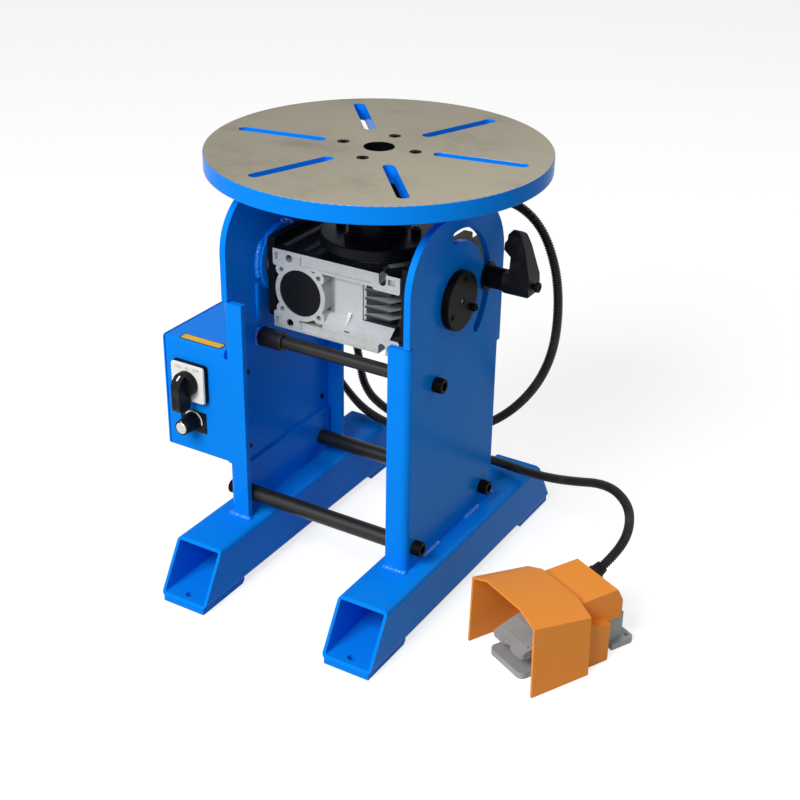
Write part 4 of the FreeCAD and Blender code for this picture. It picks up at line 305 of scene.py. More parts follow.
def cast_group():
    """A cast skin: fine pits over a soft lumpiness, darker in patches."""
    tree, given, result = new_group(
        "Cast Skin", [("Colour", "Color", (0.6, 0.6, 0.6)), ("Grain Size", "Float", 900.0),
                      ("Grain Depth", "Float", 0.0002), ("Gloss", "Float", 0.35), ("Staining", "Float", 0.2)],
        [("Colour", "Color"), ("Roughness", "Float"), ("Normal", "Vector")])
    where = add_node(tree, "TexCoord").outputs["Object"]
    grain = noise(tree, where, given["Grain Size"], 3.0, 0.7)
    lump = noise(tree, where, 70.0, 2.0)
    cloud = noise(tree, where, 22.0, 4.0, 0.6)
    stain = maths(tree, "MULTIPLY", ranged(tree, cloud, 0.4, 0.75, 0.0, 1.0, True), given["Staining"])
    pits = maths(tree, "MULTIPLY", ranged(tree, grain, 0.5, 0.3, 0.0, 1.0), 0.25)
    shade = maths(tree, "SUBTRACT", maths(tree, "SUBTRACT", 1.0, stain), pits)
    hue = add_node(tree, "HueSaturation")
    tree.links.new(given["Colour"], hue.inputs["Color"])
    tree.links.new(shade, hue.inputs["Value"])
    tree.links.new(hue.outputs["Color"], result["Colour"])
    tree.links.new(maths(tree, "MULTIPLY_ADD", cloud, 0.25, given["Gloss"]), result["Roughness"])
    height = maths(tree, "MULTIPLY_ADD", lump, 1.2, grain)
    tree.links.new(bumped(tree, height, given["Grain Depth"]), result["Normal"])
    return tree


def turned_group():
    """A lathe-turned face: fine rings about its centre, faint spokes of painted highlight, smudges, and one side
    painted paler as painted light.
    """
    tree, given, result = new_group(
        "Turned Face", [("Colour", "Color", (0.4, 0.4, 0.4)), ("Centre", "Vector", (0.0, 0.0, 0.0)),
                        ("Ring Pitch", "Float", 0.0009), ("Gloss", "Float", 0.35), ("Smudges", "Float", 0.3),
                        ("Painted Light Side", "Float", 1.3)],
        [("Colour", "Color"), ("Roughness", "Float"), ("Normal", "Vector")])
    where = add_node(tree, "TexCoord").outputs["Object"]
    offset = add_node(tree, "VectorMath", operation="SUBTRACT")
    tree.links.new(where, offset.inputs[0])
    tree.links.new(given["Centre"], offset.inputs[1])
    split = add_node(tree, "SeparateXYZ")
    tree.links.new(offset.outputs[0], split.inputs[0])
    x, y = split.outputs[0], split.outputs[1]
    squares = maths(tree, "ADD", maths(tree, "MULTIPLY", x, x), maths(tree, "MULTIPLY", y, y))
    radius = maths(tree, "SQRT", squares)
    turn = maths(tree, "ARCTAN2", y, x)
    ring_place = add_node(tree, "CombineXYZ")
    tree.links.new(maths(tree, "DIVIDE", radius, given["Ring Pitch"]), ring_place.inputs[0])
    ring = noise(tree, ring_place.outputs[0], 1.0, 2.0, 0.6)
    arc_place = add_node(tree, "CombineXYZ")
    tree.links.new(maths(tree, "MULTIPLY", radius, 60.0), arc_place.inputs[0])
    tree.links.new(maths(tree, "MULTIPLY", turn, 1.6), arc_place.inputs[1])
    arcs = noise(tree, arc_place.outputs[0], 2.5, 4.0, 0.6)
    # Painted highlight: two opposite sectors about the centre are lighter and two are darker.
    painted_highlight_spoke = maths(tree, "COSINE", maths(tree, "MULTIPLY_ADD", turn, 2.0, 1.1))
    smudge = noise(tree, where, 14.0, 4.0, 0.65)
    shade = maths(tree, "MULTIPLY_ADD", maths(tree, "SUBTRACT", ring, 0.5), 0.30, 1.0)
    shade = maths(tree, "MULTIPLY_ADD", maths(tree, "SUBTRACT", arcs, 0.5), 0.35, shade)
    shade = maths(tree, "MULTIPLY_ADD", painted_highlight_spoke, 0.05, shade)
    # Painted light: a straight gradient makes one side of the face paler and the other darker.
    painted_light_slope = maths(tree, "MULTIPLY_ADD", x, 0.8, maths(tree, "MULTIPLY", y, -0.5))
    shade = maths(tree, "MULTIPLY_ADD", painted_light_slope, given["Painted Light Side"], shade)
    dark = maths(tree, "MULTIPLY", ranged(tree, smudge, 0.45, 0.8, 0.0, 1.0, True), given["Smudges"])
    hue = add_node(tree, "HueSaturation")
    tree.links.new(given["Colour"], hue.inputs["Color"])
    tree.links.new(maths(tree, "SUBTRACT", shade, dark), hue.inputs["Value"])
    tree.links.new(hue.outputs["Color"], result["Colour"])
    rough = maths(tree, "MULTIPLY_ADD", arcs, 0.2, given["Gloss"])
    tree.links.new(rough, result["Roughness"])
    tree.links.new(bumped(tree, ring, 0.00006), result["Normal"])
    return tree


def moulded_group():
    """Moulded plastic: a fine sparked texture, scuffed in patches."""
    tree, given, result = new_group(
        "Moulded Skin", [("Colour", "Color", (0.02, 0.02, 0.02)), ("Texture Size", "Float", 1500.0),
                         ("Texture Depth", "Float", 0.00008), ("Gloss", "Float", 0.4),
                         ("Scuffing", "Float", 0.1)],
        [("Colour", "Color"), ("Roughness", "Float"), ("Normal", "Vector")])
    where = add_node(tree, "TexCoord").outputs["Object"]
    spark = noise(tree, where, given["Texture Size"], 2.0)
    cloud = noise(tree, where, 30.0, 3.0)
    scuff = maths(tree, "MULTIPLY", ranged(tree, cloud, 0.5, 0.8, 0.0, 1.0, True), given["Scuffing"])
    tree.links.new(mixed(tree, scuff, given["Colour"], (0.35, 0.35, 0.35)), result["Colour"])
    rough = maths(tree, "MULTIPLY_ADD", cloud, 0.15, given["Gloss"])
    tree.links.new(maths(tree, "ADD", rough, scuff), result["Roughness"])
    tree.links.new(bumped(tree, spark, given["Texture Depth"]), result["Normal"])
    return tree


# ---------------------------------------------------------------- materials

GROUPS = {}
MATERIALS = {}


def coated(name, group, metallic=0.0, coat=0.0, specular=0.5, **values):
    """A material whose colour, roughness and normal come from one of the skin groups."""
    material = bpy.data.materials.new(name)
    material.use_nodes = True
    tree = material.node_tree
    shader = tree.nodes["Principled BSDF"]
    shader.inputs["Metallic"].default_value = metallic
    shader.inputs["Coat Weight"].default_value = coat
    shader.inputs["Coat Roughness"].default_value = 0.08
    shader.inputs["Specular IOR Level"].default_value = specular
    skin = tree.nodes.new("ShaderNodeGroup")
    skin.node_tree = GROUPS[group]
    for key, value in values.items():
        socket = skin.inputs[key.replace("_", " ")]
        socket.default_value = (*value[:3], 1.0) if socket.type == "RGBA" else value
    for label, target in (("Colour", "Base Color"), ("Roughness", "Roughness"), ("Normal", "Normal")):
        tree.links.new(skin.outputs[label], shader.inputs[target])
    MATERIALS[name] = material


def make_materials():
    """Builds the skin groups and every material of the machine."""
    colours = settings("colours")
    GROUPS.update(enamel=enamel_group(), cast=cast_group(), turned=turned_group(), moulded=moulded_group())
    coated("blue_enamel", "enamel", specular=0.03, Colour=colours.enamel, Gloss=0.2)
    coated("weld_enamel", "enamel", coat=0.25, specular=0.3, Colour=colours.enamel, Gloss=0.14,
           Peel_Size=500.0, Peel_Depth=0.0002)
    coated("black_enamel", "enamel", specular=0.1, Colour=linear("121316"), Gloss=0.32, Peel_Depth=0.0001)
    coated("cast_aluminium", "cast", metallic=0.45, Colour=colours.cast, Staining=0.14)
    coated("grey_casting", "cast", metallic=0.2, specular=0.3, Colour=colours.grey, Gloss=0.45,
           Grain_Depth=0.00025, Staining=0.12)
    coated("machined_steel", "cast", metallic=0.9, Colour=linear("B4B4B2"), Grain_Depth=0.00003, Gloss=0.25,
           Staining=0.1)
    coated("black_oxide", "cast", metallic=0.0, specular=0.05, Colour=linear("0B0C0D"), Grain_Depth=0.00006,
           Gloss=0.32)
    coated("dark_bar", "cast", metallic=0.3, specular=0.4, Colour=linear("242322"), Grain_Depth=0.00006,
           Gloss=0.3)
    # Painted shade: a dark grey for the casting between the gearbox's fins.
    coated("painted_shade_casting", "cast", metallic=0.4, specular=0.1, Colour=linear("3E4246"), Staining=0.25)
    coated("oiled_bronze", "cast", metallic=0.6, specular=0.2, Colour=linear("4A3C2C"), Grain_Depth=0.00004)
    coated("bronze", "cast", metallic=0.9, Colour=linear("B98A4A"), Grain_Depth=0.00004)
    coated("black_plastic", "moulded", specular=0.14, Colour=linear("0B0C0E"))
    coated("conduit_plastic", "moulded", specular=0.3, Colour=linear("18191B"), Gloss=0.34)
    coated("orange_moulding", "moulded", specular=0.25, Colour=colours.guard, Gloss=0.42, Scuffing=0.02,
           Texture_Depth=0.0001, Texture_Size=700.0)
    coated("white_dial", "moulded", specular=0.3, Colour=linear("F0EFEC"), Gloss=0.3, Scuffing=0.02)
    coated("yellow_strip", "moulded", specular=0.3, Colour=linear("F2B92E"), Gloss=0.35, Scuffing=0.04)
    coated("silver_cap", "cast", metallic=0.8, Colour=linear("D5D4CE"), Grain_Depth=0.00002, Gloss=0.25,
           Staining=0.05)
    coated("seal_rubber", "moulded", Colour=linear("161617"), Gloss=0.5)
    coated("circuit_board", "moulded", Colour=linear("1E5A33"), Gloss=0.3)
    coated("table_face", "turned", metallic=0.7, Colour=colours.turned, Centre=SPIN, Ring_Pitch=0.0011)


# ---------------------------------------------------------------- modelling helpers

def select_only(*objects):
    """Selects some objects and nothing else; the first becomes the active one."""
    bpy.ops.object.select_all(action="DESELECT")
    for obj in objects:
        obj.select_set(True)
    bpy.context.view_layer.objects.active = objects[0]


def apply_modifier(obj, kind, **values):
    """Adds a modifier with the given values and applies it."""
    select_only(obj)
    modifier = obj.modifiers.new(kind.title(), kind)
    for key, value in values.items():
        setattr(modifier, key, value)
    bpy.ops.object.modifier_apply(modifier=modifier.name)


def settle(piece, name, material, body):
    """Names a finished piece, fixes its place in its mesh, and gives it its material and its body."""
    select_only(piece)
    bpy.ops.object.transform_apply(location=True, rotation=True, scale=True)
    piece.name = name
    if material:
        piece.data.materials.clear()
        piece.data.materials.append(MATERIALS[material])
    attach(piece, body)
    return piece


def soften(piece, edge, sharp=32.0, segments=2):
    """Rounds a piece's sharp edges and smooths its curved faces, with its flat faces kept flat."""
    if edge > 0:
        apply_modifier(piece, "BEVEL", width=edge, segments=segments, limit_method="ANGLE",
                       angle_limit=math.radians(sharp), use_clamp_overlap=True)
    select_only(piece)
    bpy.ops.object.shade_smooth_by_angle(angle=math.radians(sharp + 8))
    apply_modifier(piece, "WEIGHTED_NORMAL", keep_sharp=True, weight=80)


def dressed(node, material, edge, sharp=32.0, segments=2):
    """A copy of a solid with its triangles joined and its edges rounded, in place of the solid."""
    piece = bpy.data.objects.new(node + "_skin", NODES[node].data.copy())
    bpy.context.scene.collection.objects.link(piece)
    select_only(piece)
    bpy.ops.object.mode_set(mode="EDIT")
    bpy.ops.mesh.select_all(action="SELECT")
    bpy.ops.mesh.remove_doubles(threshold=0.002 * MM)
    bpy.ops.mesh.dissolve_limited(angle_limit=math.radians(0.4))
    bpy.ops.object.mode_set(mode="OBJECT")
    soften(piece, edge, sharp, segments)
    settle(piece, node + "_skin", material, BODY_OF[node])
    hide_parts(node)
    return piece


def finish_faces(piece, material, chosen):
    """Gives the faces that the test accepts, by middle and normal, another material."""
    piece.data.materials.append(MATERIALS[material])
    index = len(piece.data.materials) - 1
    for face in piece.data.polygons:
        if chosen(face.center, face.normal):
            face.material_index = index


def paint(node, material):
    """Gives a hidden or small solid its material."""
    data = NODES[node].data
    data.materials.clear()
    data.materials.append(MATERIALS[material])


def drum(name, centre, radius, depth):
    """A closed cylinder along Y at its size and place, ready for shaping."""
    bpy.ops.object.select_all(action="DESELECT")
    bpy.ops.mesh.primitive_cylinder_add(vertices=36, radius=radius, depth=depth, location=centre,
                                        rotation=(math.pi / 2, 0, 0))
    piece = bpy.context.object
    piece.name = name
    bpy.ops.object.transform_apply(location=True, rotation=True, scale=True)
    return piece


# ---------------------------------------------------------------- operators

class POSITIONER_OT_materials(bpy.types.Operator):
    """Builds the skins and materials"""
    bl_idname = "positioner.materials"
    bl_label = "Materials"

    def execute(self, context):
        make_materials()
        return {"FINISHED"}


class POSITIONER_OT_feet(bpy.types.Operator):
    """Finishes the two feet and their pads"""
    bl_idname = "positioner.feet"
    bl_label = "Feet"

    def execute(self, context):
        edges = settings("edges")
        for node in ("left_rail", "right_rail", "foot_pads"):
            dressed(node, "blue_enamel", edges.plate)
        return {"FINISHED"}


class POSITIONER_OT_cheeks(bpy.types.Operator):
    """Finishes the two cheeks and what is welded to them"""
    bl_idname = "positioner.cheeks"
    bl_label = "Cheeks"

    def execute(self, context):
        edges = settings("edges")
        for node in ("left_cheek", "right_cheek", "base_strips", "bearing_rings", "stop_rib"):
            dressed(node, "blue_enamel", edges.plate)
        paint("trunnion_bushes", "oiled_bronze")
        return {"FINISHED"}


def ripple_run(start, end, spacing):
    """Places from one point to another, one for each ripple."""
    start, end = Vector(start), Vector(end)
    count = max(2, round((end - start).length / spacing))
    return [start.lerp(end, i / count) for i in range(count + 1)]


def ripple_arc(x, radius, centre, start, end, spacing):
    """Places along an arc about the X direction, one for each ripple; angles in degrees from +Y."""
    count = round(math.radians(end - start) * radius / spacing)
    turns = [math.radians(start + (end - start) * i / count) for i in range(count + 1)]
    return [Vector((x, centre.y + radius * math.cos(turn), centre.z + radius * math.sin(turn)))
            for turn in turns]


def weld_beads(name, places, body):
    """Beads laid as overlapping ripples, melted into one skin and painted over."""
    sizes = settings("weld")
    bpy.ops.object.select_all(action="DESELECT")
    bpy.ops.mesh.primitive_uv_sphere_add(segments=14, ring_count=9, radius=sizes.width / 2,
                                         location=places[0])
    ripple = bpy.context.object
    ripples = [ripple]
    for index, place in enumerate(places[1:]):
        copy = bpy.data.objects.new(name, ripple.data.copy())
        bpy.context.scene.collection.objects.link(copy)
        copy.location = place
        copy.scale = Vector((1, 1, 1)) * (1 + BEAD_SWELL * math.sin(2.3 * index))
        ripples.append(copy)
    select_only(*ripples)
    bpy.ops.object.join()
    bead = bpy.context.object
    bpy.ops.object.transform_apply(location=True, rotation=True, scale=True)
    apply_modifier(bead, "REMESH", mode="VOXEL", voxel_size=sizes.grain)
    select_only(bead)
    bpy.ops.object.shade_smooth()
    return settle(bead, name, "weld_enamel", body)


class POSITIONER_OT_welds(bpy.types.Operator):
    """Lays the weld beads at the cheeks' feet, round the bearing rings and at the upper bar"""
    bl_idname = "positioner.welds"
    bl_label = "Welds"

    def execute(self, context):
        step = settings("weld").ripple
        low, high = (Vector(corner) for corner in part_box("right_cheek"))
        foot = low.z
        outer, flange_edge = high.x, low.x
        ring_low, ring_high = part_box("bearing_rings")
        inner = ring_high[0]
        ring_radius = (ring_high[2] - ring_low[2]) / 2 + BEAD_STANDOFF
        places = []
        for side in (-1, 1):
            for y in (low.y, high.y):
                places += ripple_run((side * flange_edge, y, foot), (side * (outer - 2 * MM), y, foot), step)
            for y0, y1 in OUTER_STITCHES:
                places += ripple_run((side * outer, y0, foot), (side * outer, y1, foot), step)
            for y0, y1 in INNER_STITCHES:
                places += ripple_run((side * inner, y0, foot), (side * inner, y1, foot), step)
            for start, end in RING_BEADS:
                places += ripple_arc(side * inner, ring_radius, TILT, start, end, step)
        weld_beads("weld_beads", places, "frame")
        bar_low, bar_high = (Vector(corner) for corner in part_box("upper_tie_bar"))
        middle = (bar_low + bar_high) / 2
        radius = (bar_high.z - bar_low.z) / 2 + BEAD_STANDOFF
        weld_beads("bar_weld", ripple_arc(-inner + 1 * MM, radius, middle, 0, 360, step), "frame")
        return {"FINISHED"}


class POSITIONER_OT_bars(bpy.types.Operator):
    """Finishes the tie bars, their collar and their screws"""
    bl_idname = "positioner.bars"
    bl_label = "Tie bars"

    def execute(self, context):
        edges = settings("edges")
        for node in ("lower_tie_bars", "upper_tie_bar", "bar_collar"):
            dressed(node, "dark_bar", edges.turned)
        dressed("tie_bar_screws", "black_oxide", edges.turned)
        return {"FINISHED"}


class POSITIONER_OT_head(bpy.types.Operator):
    """Finishes the tilting head: trunnions, cradle plates, gearbox and motor"""
    bl_idname = "positioner.head"
    bl_label = "Tilting head"

    def execute(self, context):
        edges = settings("edges")
        for node in ("trunnion_discs", "disc_screws", "cradle_screws", "housing_screws"):
            dressed(node, "black_oxide", edges.turned)
        for node in ("left_side_plate", "right_side_plate", "rear_plate"):
            dressed(node, "black_enamel", edges.plate)
        dressed("trunnion_shafts", "machined_steel", edges.turned)
        housing = dressed("gearbox_housing", "cast_aluminium", edges.casting)
        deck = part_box("gearbox_housing")[1][2]

        def in_troughs(centre, normal):
            return normal.z > 0.8 and deck - DECK_DEPTH < centre.z < deck - DECK_SKIN

        # Painted shade: the faces deep between the fins, behind their front edges, go dark grey.
        def between_fins(centre, normal):
            beside = centre.x > FINS_FROM_X and FINS_FRONT_Y < centre.y < FINS_REAR_Y
            return beside and FINS_LOW_Z < centre.z < deck - FINS_DROP

        finish_faces(housing, "black_enamel", in_troughs)
        finish_faces(housing, "painted_shade_casting", between_fins)
        self.foot_screws()
        dressed("bearing_housing", "black_enamel", edges.casting)
        dressed("worm_cap", "black_enamel", edges.turned)
        dressed("spindle_cover", "black_enamel", edges.turned)
        for node in ("motor_body", "motor_end_cap", "motor_flange"):
            dressed(node, "black_enamel", edges.turned)
        dressed("terminal_box", "black_plastic", edges.moulded)
        dressed("motor_gland", "black_plastic", edges.turned)
        for node in ("worm_bearings", "output_bearings", "worm_shaft"):
            paint(node, "machined_steel")
        paint("output_seals", "seal_rubber")
        paint("worm_wheel", "bronze")
        return {"FINISHED"}

    def foot_screws(self):
        """Socket screws seen in the two front feet of the gearbox."""
        low, high = (Vector(corner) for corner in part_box("gearbox_housing"))
        across = low.x + FOOT_SCREW_INSET
        for index, z in enumerate((low.z + FOOT_SCREW_RISE, high.z - FOOT_SCREW_RISE)):
            screw = drum(f"foot_screw_{index}", (across, low.y + 4 * MM, z), FOOT_SCREW_R, 6 * MM)
            bpy.ops.object.mode_set(mode="EDIT")
            bpy.ops.mesh.select_all(action="DESELECT")
            bpy.ops.mesh.select_mode(type="FACE")
            bpy.ops.object.mode_set(mode="OBJECT")
            for face in screw.data.polygons:
                face.select = face.normal.y < -0.9
            bpy.ops.object.mode_set(mode="EDIT")
            bpy.ops.mesh.inset(thickness=FOOT_SCREW_R / 2, depth=0)
            bpy.ops.mesh.extrude_region_move(TRANSFORM_OT_translate={"value": (0, 3 * MM, 0)})
            bpy.ops.object.mode_set(mode="OBJECT")
            soften(screw, 0.4 * MM)
            settle(screw, f"foot_screw_{index}", "black_oxide", "tilt_head")


class POSITIONER_OT_table(bpy.types.Operator):
    """Finishes the round table, its hub and its screws"""
    bl_idname = "positioner.table"
    bl_label = "Table"

    def execute(self, context):
        plate = dressed("table_plate", "table_face", settings("edges").turned)

        def off_axis(centre):
            return math.hypot(centre.x - SPIN.x, centre.y - SPIN.y)

        def below_face(centre, normal):
            return centre.z < TABLE_TOP - 0.5 * MM or normal.z < 0.4

        finish_faces(plate, "blue_enamel", lambda c, n: below_face(c, n) and off_axis(c) > BARE_SEAT_R)
        finish_faces(plate, "black_oxide", lambda c, n: below_face(c, n) and off_axis(c) <= BARE_SEAT_R)
        dressed("table_hub", "black_enamel", settings("edges").turned)
        dressed("table_screws", "black_oxide", settings("edges").turned)
        return {"FINISHED"}


class POSITIONER_OT_clamp(bpy.types.Operator):
    """Finishes the tilt clamp and its lever"""
    bl_idname = "positioner.clamp"
    bl_label = "Clamp"

    def execute(self, context):
        edges = settings("edges")
        dressed("clamp_stud", "machined_steel", edges.turned)
        for node in ("clamp_sleeves", "clamp_insert", "clamp_washer"):
            dressed(node, "black_oxide", edges.turned)
        dressed("clamp_handle", "black_plastic", 2.0 * MM, segments=4)
        return {"FINISHED"}


def thin_plate(name, centre, size, corner, material, body, turn=0.0):
    """A thin plate with rounded corners; it is turned about X when it lies on a slope."""
    bpy.ops.object.select_all(action="DESELECT")
    bpy.ops.mesh.primitive_cube_add(size=1, location=centre, rotation=(turn, 0, 0))
    piece = bpy.context.object
    piece.scale = size
    bpy.ops.object.transform_apply(location=False, rotation=False, scale=True)
    thin = min(range(3), key=lambda axis: size[axis])
    bpy.ops.object.mode_set(mode="EDIT")
    bpy.ops.mesh.select_all(action="DESELECT")
    bpy.ops.object.mode_set(mode="OBJECT")
    for edge in piece.data.edges:
        a, b = (piece.data.vertices[index].co for index in edge.vertices)
        edge.select = abs((a - b)[thin]) > 0.5 * size[thin]
    bpy.ops.object.mode_set(mode="EDIT")
    bpy.ops.mesh.select_mode(type="EDGE")
    bpy.ops.mesh.bevel(offset=corner, segments=4, affect="EDGES")
    bpy.ops.object.mode_set(mode="OBJECT")
    apply_modifier(piece, "BEVEL", width=size[thin] * 0.3, segments=2, limit_method="ANGLE")
    return settle(piece, name, material, body)


def arc_mark(name, centre, radius, width, start, end, material, body):
    """A printed arc facing forwards about a point: a small block spun round it; angles from +X."""
    thick = 0.2 * MM
    turn = math.radians(start)
    bpy.ops.object.select_all(action="DESELECT")
    bpy.ops.mesh.primitive_plane_add(size=1, location=(0, 0, 0))
    piece = bpy.context.object
    piece.scale = (width, thick, 1)
    bpy.ops.object.transform_apply(location=True, rotation=True, scale=True)
    piece.location = (radius, 0, 0)
    bpy.ops.object.transform_apply(location=True, rotation=True, scale=True)
    piece.rotation_euler = (0, -turn, 0)
    bpy.ops.object.transform_apply(location=True, rotation=True, scale=True)
    piece.location = centre
    bpy.ops.object.transform_apply(location=True, rotation=True, scale=True)
    bpy.ops.object.mode_set(mode="EDIT")
    bpy.ops.mesh.select_all(action="SELECT")
    bpy.ops.mesh.spin(steps=24, angle=math.radians(end - start), center=centre, axis=(0, 1, 0))
    bpy.ops.mesh.select_all(action="SELECT")
    bpy.ops.mesh.remove_doubles(threshold=0.001 * MM)
    bpy.ops.mesh.normals_make_consistent(inside=False)
    bpy.ops.object.mode_set(mode="OBJECT")
    return settle(piece, name, material, body)


def word_mark(name, word, centre, height, material, body):
    """A printed word facing forwards."""
    curve = bpy.data.curves.new(name, "FONT")
    curve.body = word
    curve.size = height
    curve.extrude = 0.1 * MM
    curve.align_x = "CENTER"
    curve.align_y = "CENTER"
    text = bpy.data.objects.new(name, curve)
    bpy.context.scene.collection.objects.link(text)
    text.location = centre
    text.rotation_euler = (math.pi / 2, 0, 0)
    select_only(text)
    bpy.ops.object.convert(target="MESH")
    return settle(bpy.context.object, name, material, body)


class POSITIONER_OT_control_box(bpy.types.Operator):
    """Finishes the control box with its switch, knob, marks and glands"""
    bl_idname = "positioner.control_box"
    bl_label = "Control box"

    def execute(self, context):
        edges = settings("edges")
        for node in ("control_box", "control_box_cover"):
            dressed(node, "blue_enamel", edges.turned)
        for node in ("cover_screws", "control_box_screws"):
            dressed(node, "black_oxide", edges.turned)
        paint("control_electronics", "circuit_board")
        dressed("cable_glands", "black_plastic", edges.turned)
        self.switch(edges)
        self.knob(edges)
        box_low, box_high = (Vector(corner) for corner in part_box("control_box"))
        lap = Vector((box_high.x + 4 * MM, box_low.y + LAP_SIZE[1] / 2, (box_low.z + LAP_TOP) / 2))
        thin_plate("panel_lap", lap, (*LAP_SIZE, LAP_TOP - box_low.z), 0.3 * MM, "blue_enamel", "frame")
        middle = Vector((STRIP_X, box_low.y + 9 * MM, box_high.z + 0.1 * MM))
        thin_plate("strip_border", middle, (*STRIP_SIZE, STRIP_T), 2.5 * MM, "black_plastic", "frame")
        face = [side - 2 * STRIP_BORDER for side in STRIP_SIZE]
        thin_plate("yellow_strip", middle + Vector((0, 0, 0.2 * MM)), (*face, STRIP_T), 2 * MM,
                   "yellow_strip", "frame")
        return {"FINISHED"}

    def switch(self, edges):
        """The rotary switch: pale dial with its words, and the handle with its mark."""
        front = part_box("switch_body")[0][1]
        dial_back = front + DIAL_T
        body = dressed("switch_body", "black_plastic", edges.moulded)
        finish_faces(body, "white_dial", lambda centre, normal: centre.y < dial_back - 0.05 * MM)
        for index, (word, aside) in enumerate(DIAL_WORDS):
            place = (SWITCH.x + aside, front - 0.05 * MM, SWITCH.z + WORD_RISE)
            word_mark(f"dial_word_{index}", word, place, WORD_HEIGHT, "grey_casting", "frame")
        dressed("switch_handle", "black_plastic", 1.2 * MM, segments=3)
        handle_top = Vector((SWITCH.x, front + HANDLE_MARK_AT[0], SWITCH.z + HANDLE_MARK_AT[1]))
        thin_plate("handle_mark", handle_top, (2.6 * MM, 7.5 * MM, 0.4 * MM), 0.6 * MM, "white_dial",
                   BODY_OF["switch_handle"], turn=HANDLE_SLOPE)

    def knob(self, edges):
        """The speed knob: silver cap and mark, over a dark plate with a printed arc."""
        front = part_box("speed_knob")[0][1]
        face = front + KNOB_CAP_DEPTH
        dressed("speed_scale", "black_plastic", edges.turned)
        knob = dressed("speed_knob", "black_plastic", edges.turned)
        finish_faces(knob, "silver_cap", lambda centre, normal: centre.y < face - 0.02 * MM)
        scale_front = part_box("speed_scale")[0][1]
        arc_mark("speed_arc", (SPEED.x, scale_front - 0.1 * MM, SPEED.z), SPEED_ARC_R, SPEED_ARC_W,
                 *SPEED_ARC_TURN, "white_dial", "frame")
        mark = Vector((SPEED.x, face, SPEED.z + KNOB_MARK_RISE))
        thin_plate("knob_mark", mark, (1.0 * MM, 0.3 * MM, 2.4 * MM), 0.3 * MM, "white_dial",
                   BODY_OF["speed_knob"])


class POSITIONER_OT_pedal(bpy.types.Operator):
    """Finishes the foot pedal"""
    bl_idname = "positioner.pedal"
    bl_label = "Foot pedal"

    def execute(self, context):
        edges = settings("edges")
        dressed("pedal_guard", "orange_moulding", 1.4 * MM, sharp=25.0, segments=3)
        dressed("pedal_base", "grey_casting", edges.casting)
        dressed("pedal_treadle", "grey_casting", edges.turned)
        dressed("pedal_works", "black_oxide", edges.turned)
        spring = dressed("pedal_spring", "machined_steel", 0.0)
        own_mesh(spring)
        return {"FINISHED"}


MOTOR_ROUTE = [
    (-0.022, 0.163, 0.405), (0.007, 0.163, 0.405), (0.037, 0.162, 0.418), (0.072, 0.155, 0.446),
    (0.117, 0.150, 0.448), (0.154, 0.146, 0.425), (0.176, 0.145, 0.376), (0.182, 0.146, 0.322),
    (0.178, 0.147, 0.268), (0.160, 0.149, 0.218), (0.128, 0.151, 0.172), (0.088, 0.153, 0.136),
    (0.038, 0.156, 0.113), (-0.018, 0.159, 0.104), (-0.070, 0.163, 0.108), (-0.115, 0.176, 0.124),
    (-0.138, 0.198, 0.163), (-0.147, 0.194, 0.208), (-0.149, 0.171, 0.240), (-0.150, 0.139, 0.256),
    (-0.150, 0.106, 0.256)]
PEDAL_ROUTE = [
    (0.318, 0.0167, 0.076), (0.3282, 0.0387, 0.0887), (0.328, 0.070, 0.103), (0.311, 0.104, 0.114),
    (0.271, 0.132, 0.116), (0.215, 0.136, 0.100), (0.165, 0.150, 0.086), (0.108, 0.1595, 0.083),
    (0.051, 0.166, 0.078), (-0.007, 0.1695, 0.0745), (-0.062, 0.1735, 0.0805), (-0.1045, 0.184, 0.0805),
    (-0.139, 0.196, 0.0865), (-0.167, 0.2005, 0.108), (-0.186, 0.1925, 0.138), (-0.194, 0.171, 0.166),
    (-0.195, 0.138, 0.181), (-0.195, 0.106, 0.181)]


def route_spline(name, route):
    """The conduit's centre line: one smooth NURBS spline."""
    curve = bpy.data.curves.new(name, "CURVE")
    curve.dimensions = "3D"
    curve.resolution_u = 32
    spline = curve.splines.new("NURBS")
    spline.points.add(len(route) - 1)
    for point, place in zip(spline.points, route):
        point.co = (*place, 1.0)
    spline.order_u = 3
    spline.use_endpoint_u = True
    line = bpy.data.objects.new(name, curve)
    bpy.context.scene.collection.objects.link(line)
    return line


def points_along(line, spacing):
    """Evenly spaced points read from a spline."""
    bpy.context.view_layer.update()
    mesh = bpy.data.meshes.new_from_object(line.evaluated_get(bpy.context.evaluated_depsgraph_get()))
    places = [vertex.co.copy() for vertex in mesh.vertices]
    bpy.data.meshes.remove(mesh)
    lengths = [(b - a).length for a, b in zip(places, places[1:])]
    count = round(sum(lengths) / spacing)
    step = sum(lengths) / count
    points, index, run = [places[0]], 0, 0.0
    for i in range(1, count):
        target = step * i
        while run + lengths[index] < target:
            run += lengths[index]
            index += 1
        points.append(places[index].lerp(places[index + 1], (target - run) / lengths[index]))
    return points + [places[-1]]


def ribbed_conduit(name, route):
    """A corrugated tube: rings whose radius rises and falls along the route's spline."""
    sizes = settings("conduit")
    line = route_spline(name + "_line", route)
    steps = 4
    points = points_along(line, sizes.pitch / steps)
    bpy.data.objects.remove(line)
    curve = bpy.data.curves.new(name, "CURVE")
    curve.dimensions = "3D"
    curve.bevel_depth = sizes.diameter / 2
    curve.bevel_resolution = 3
    curve.use_fill_caps = True
    spline = curve.splines.new("POLY")
    spline.points.add(len(points) - 1)
    low = 1 - 2 * sizes.groove / sizes.diameter
    heights = (1.0, 1.0, low, low)
    for i, (point, place) in enumerate(zip(spline.points, points)):
        point.co = (*place, 1.0)
        point.radius = heights[i % steps]
    tube = bpy.data.objects.new(name, curve)
    bpy.context.scene.collection.objects.link(tube)
    select_only(tube)
    bpy.ops.object.convert(target="MESH")
    tube = bpy.context.object
    select_only(tube)
    bpy.ops.object.shade_smooth_by_angle(angle=math.radians(50))
    return tube, points


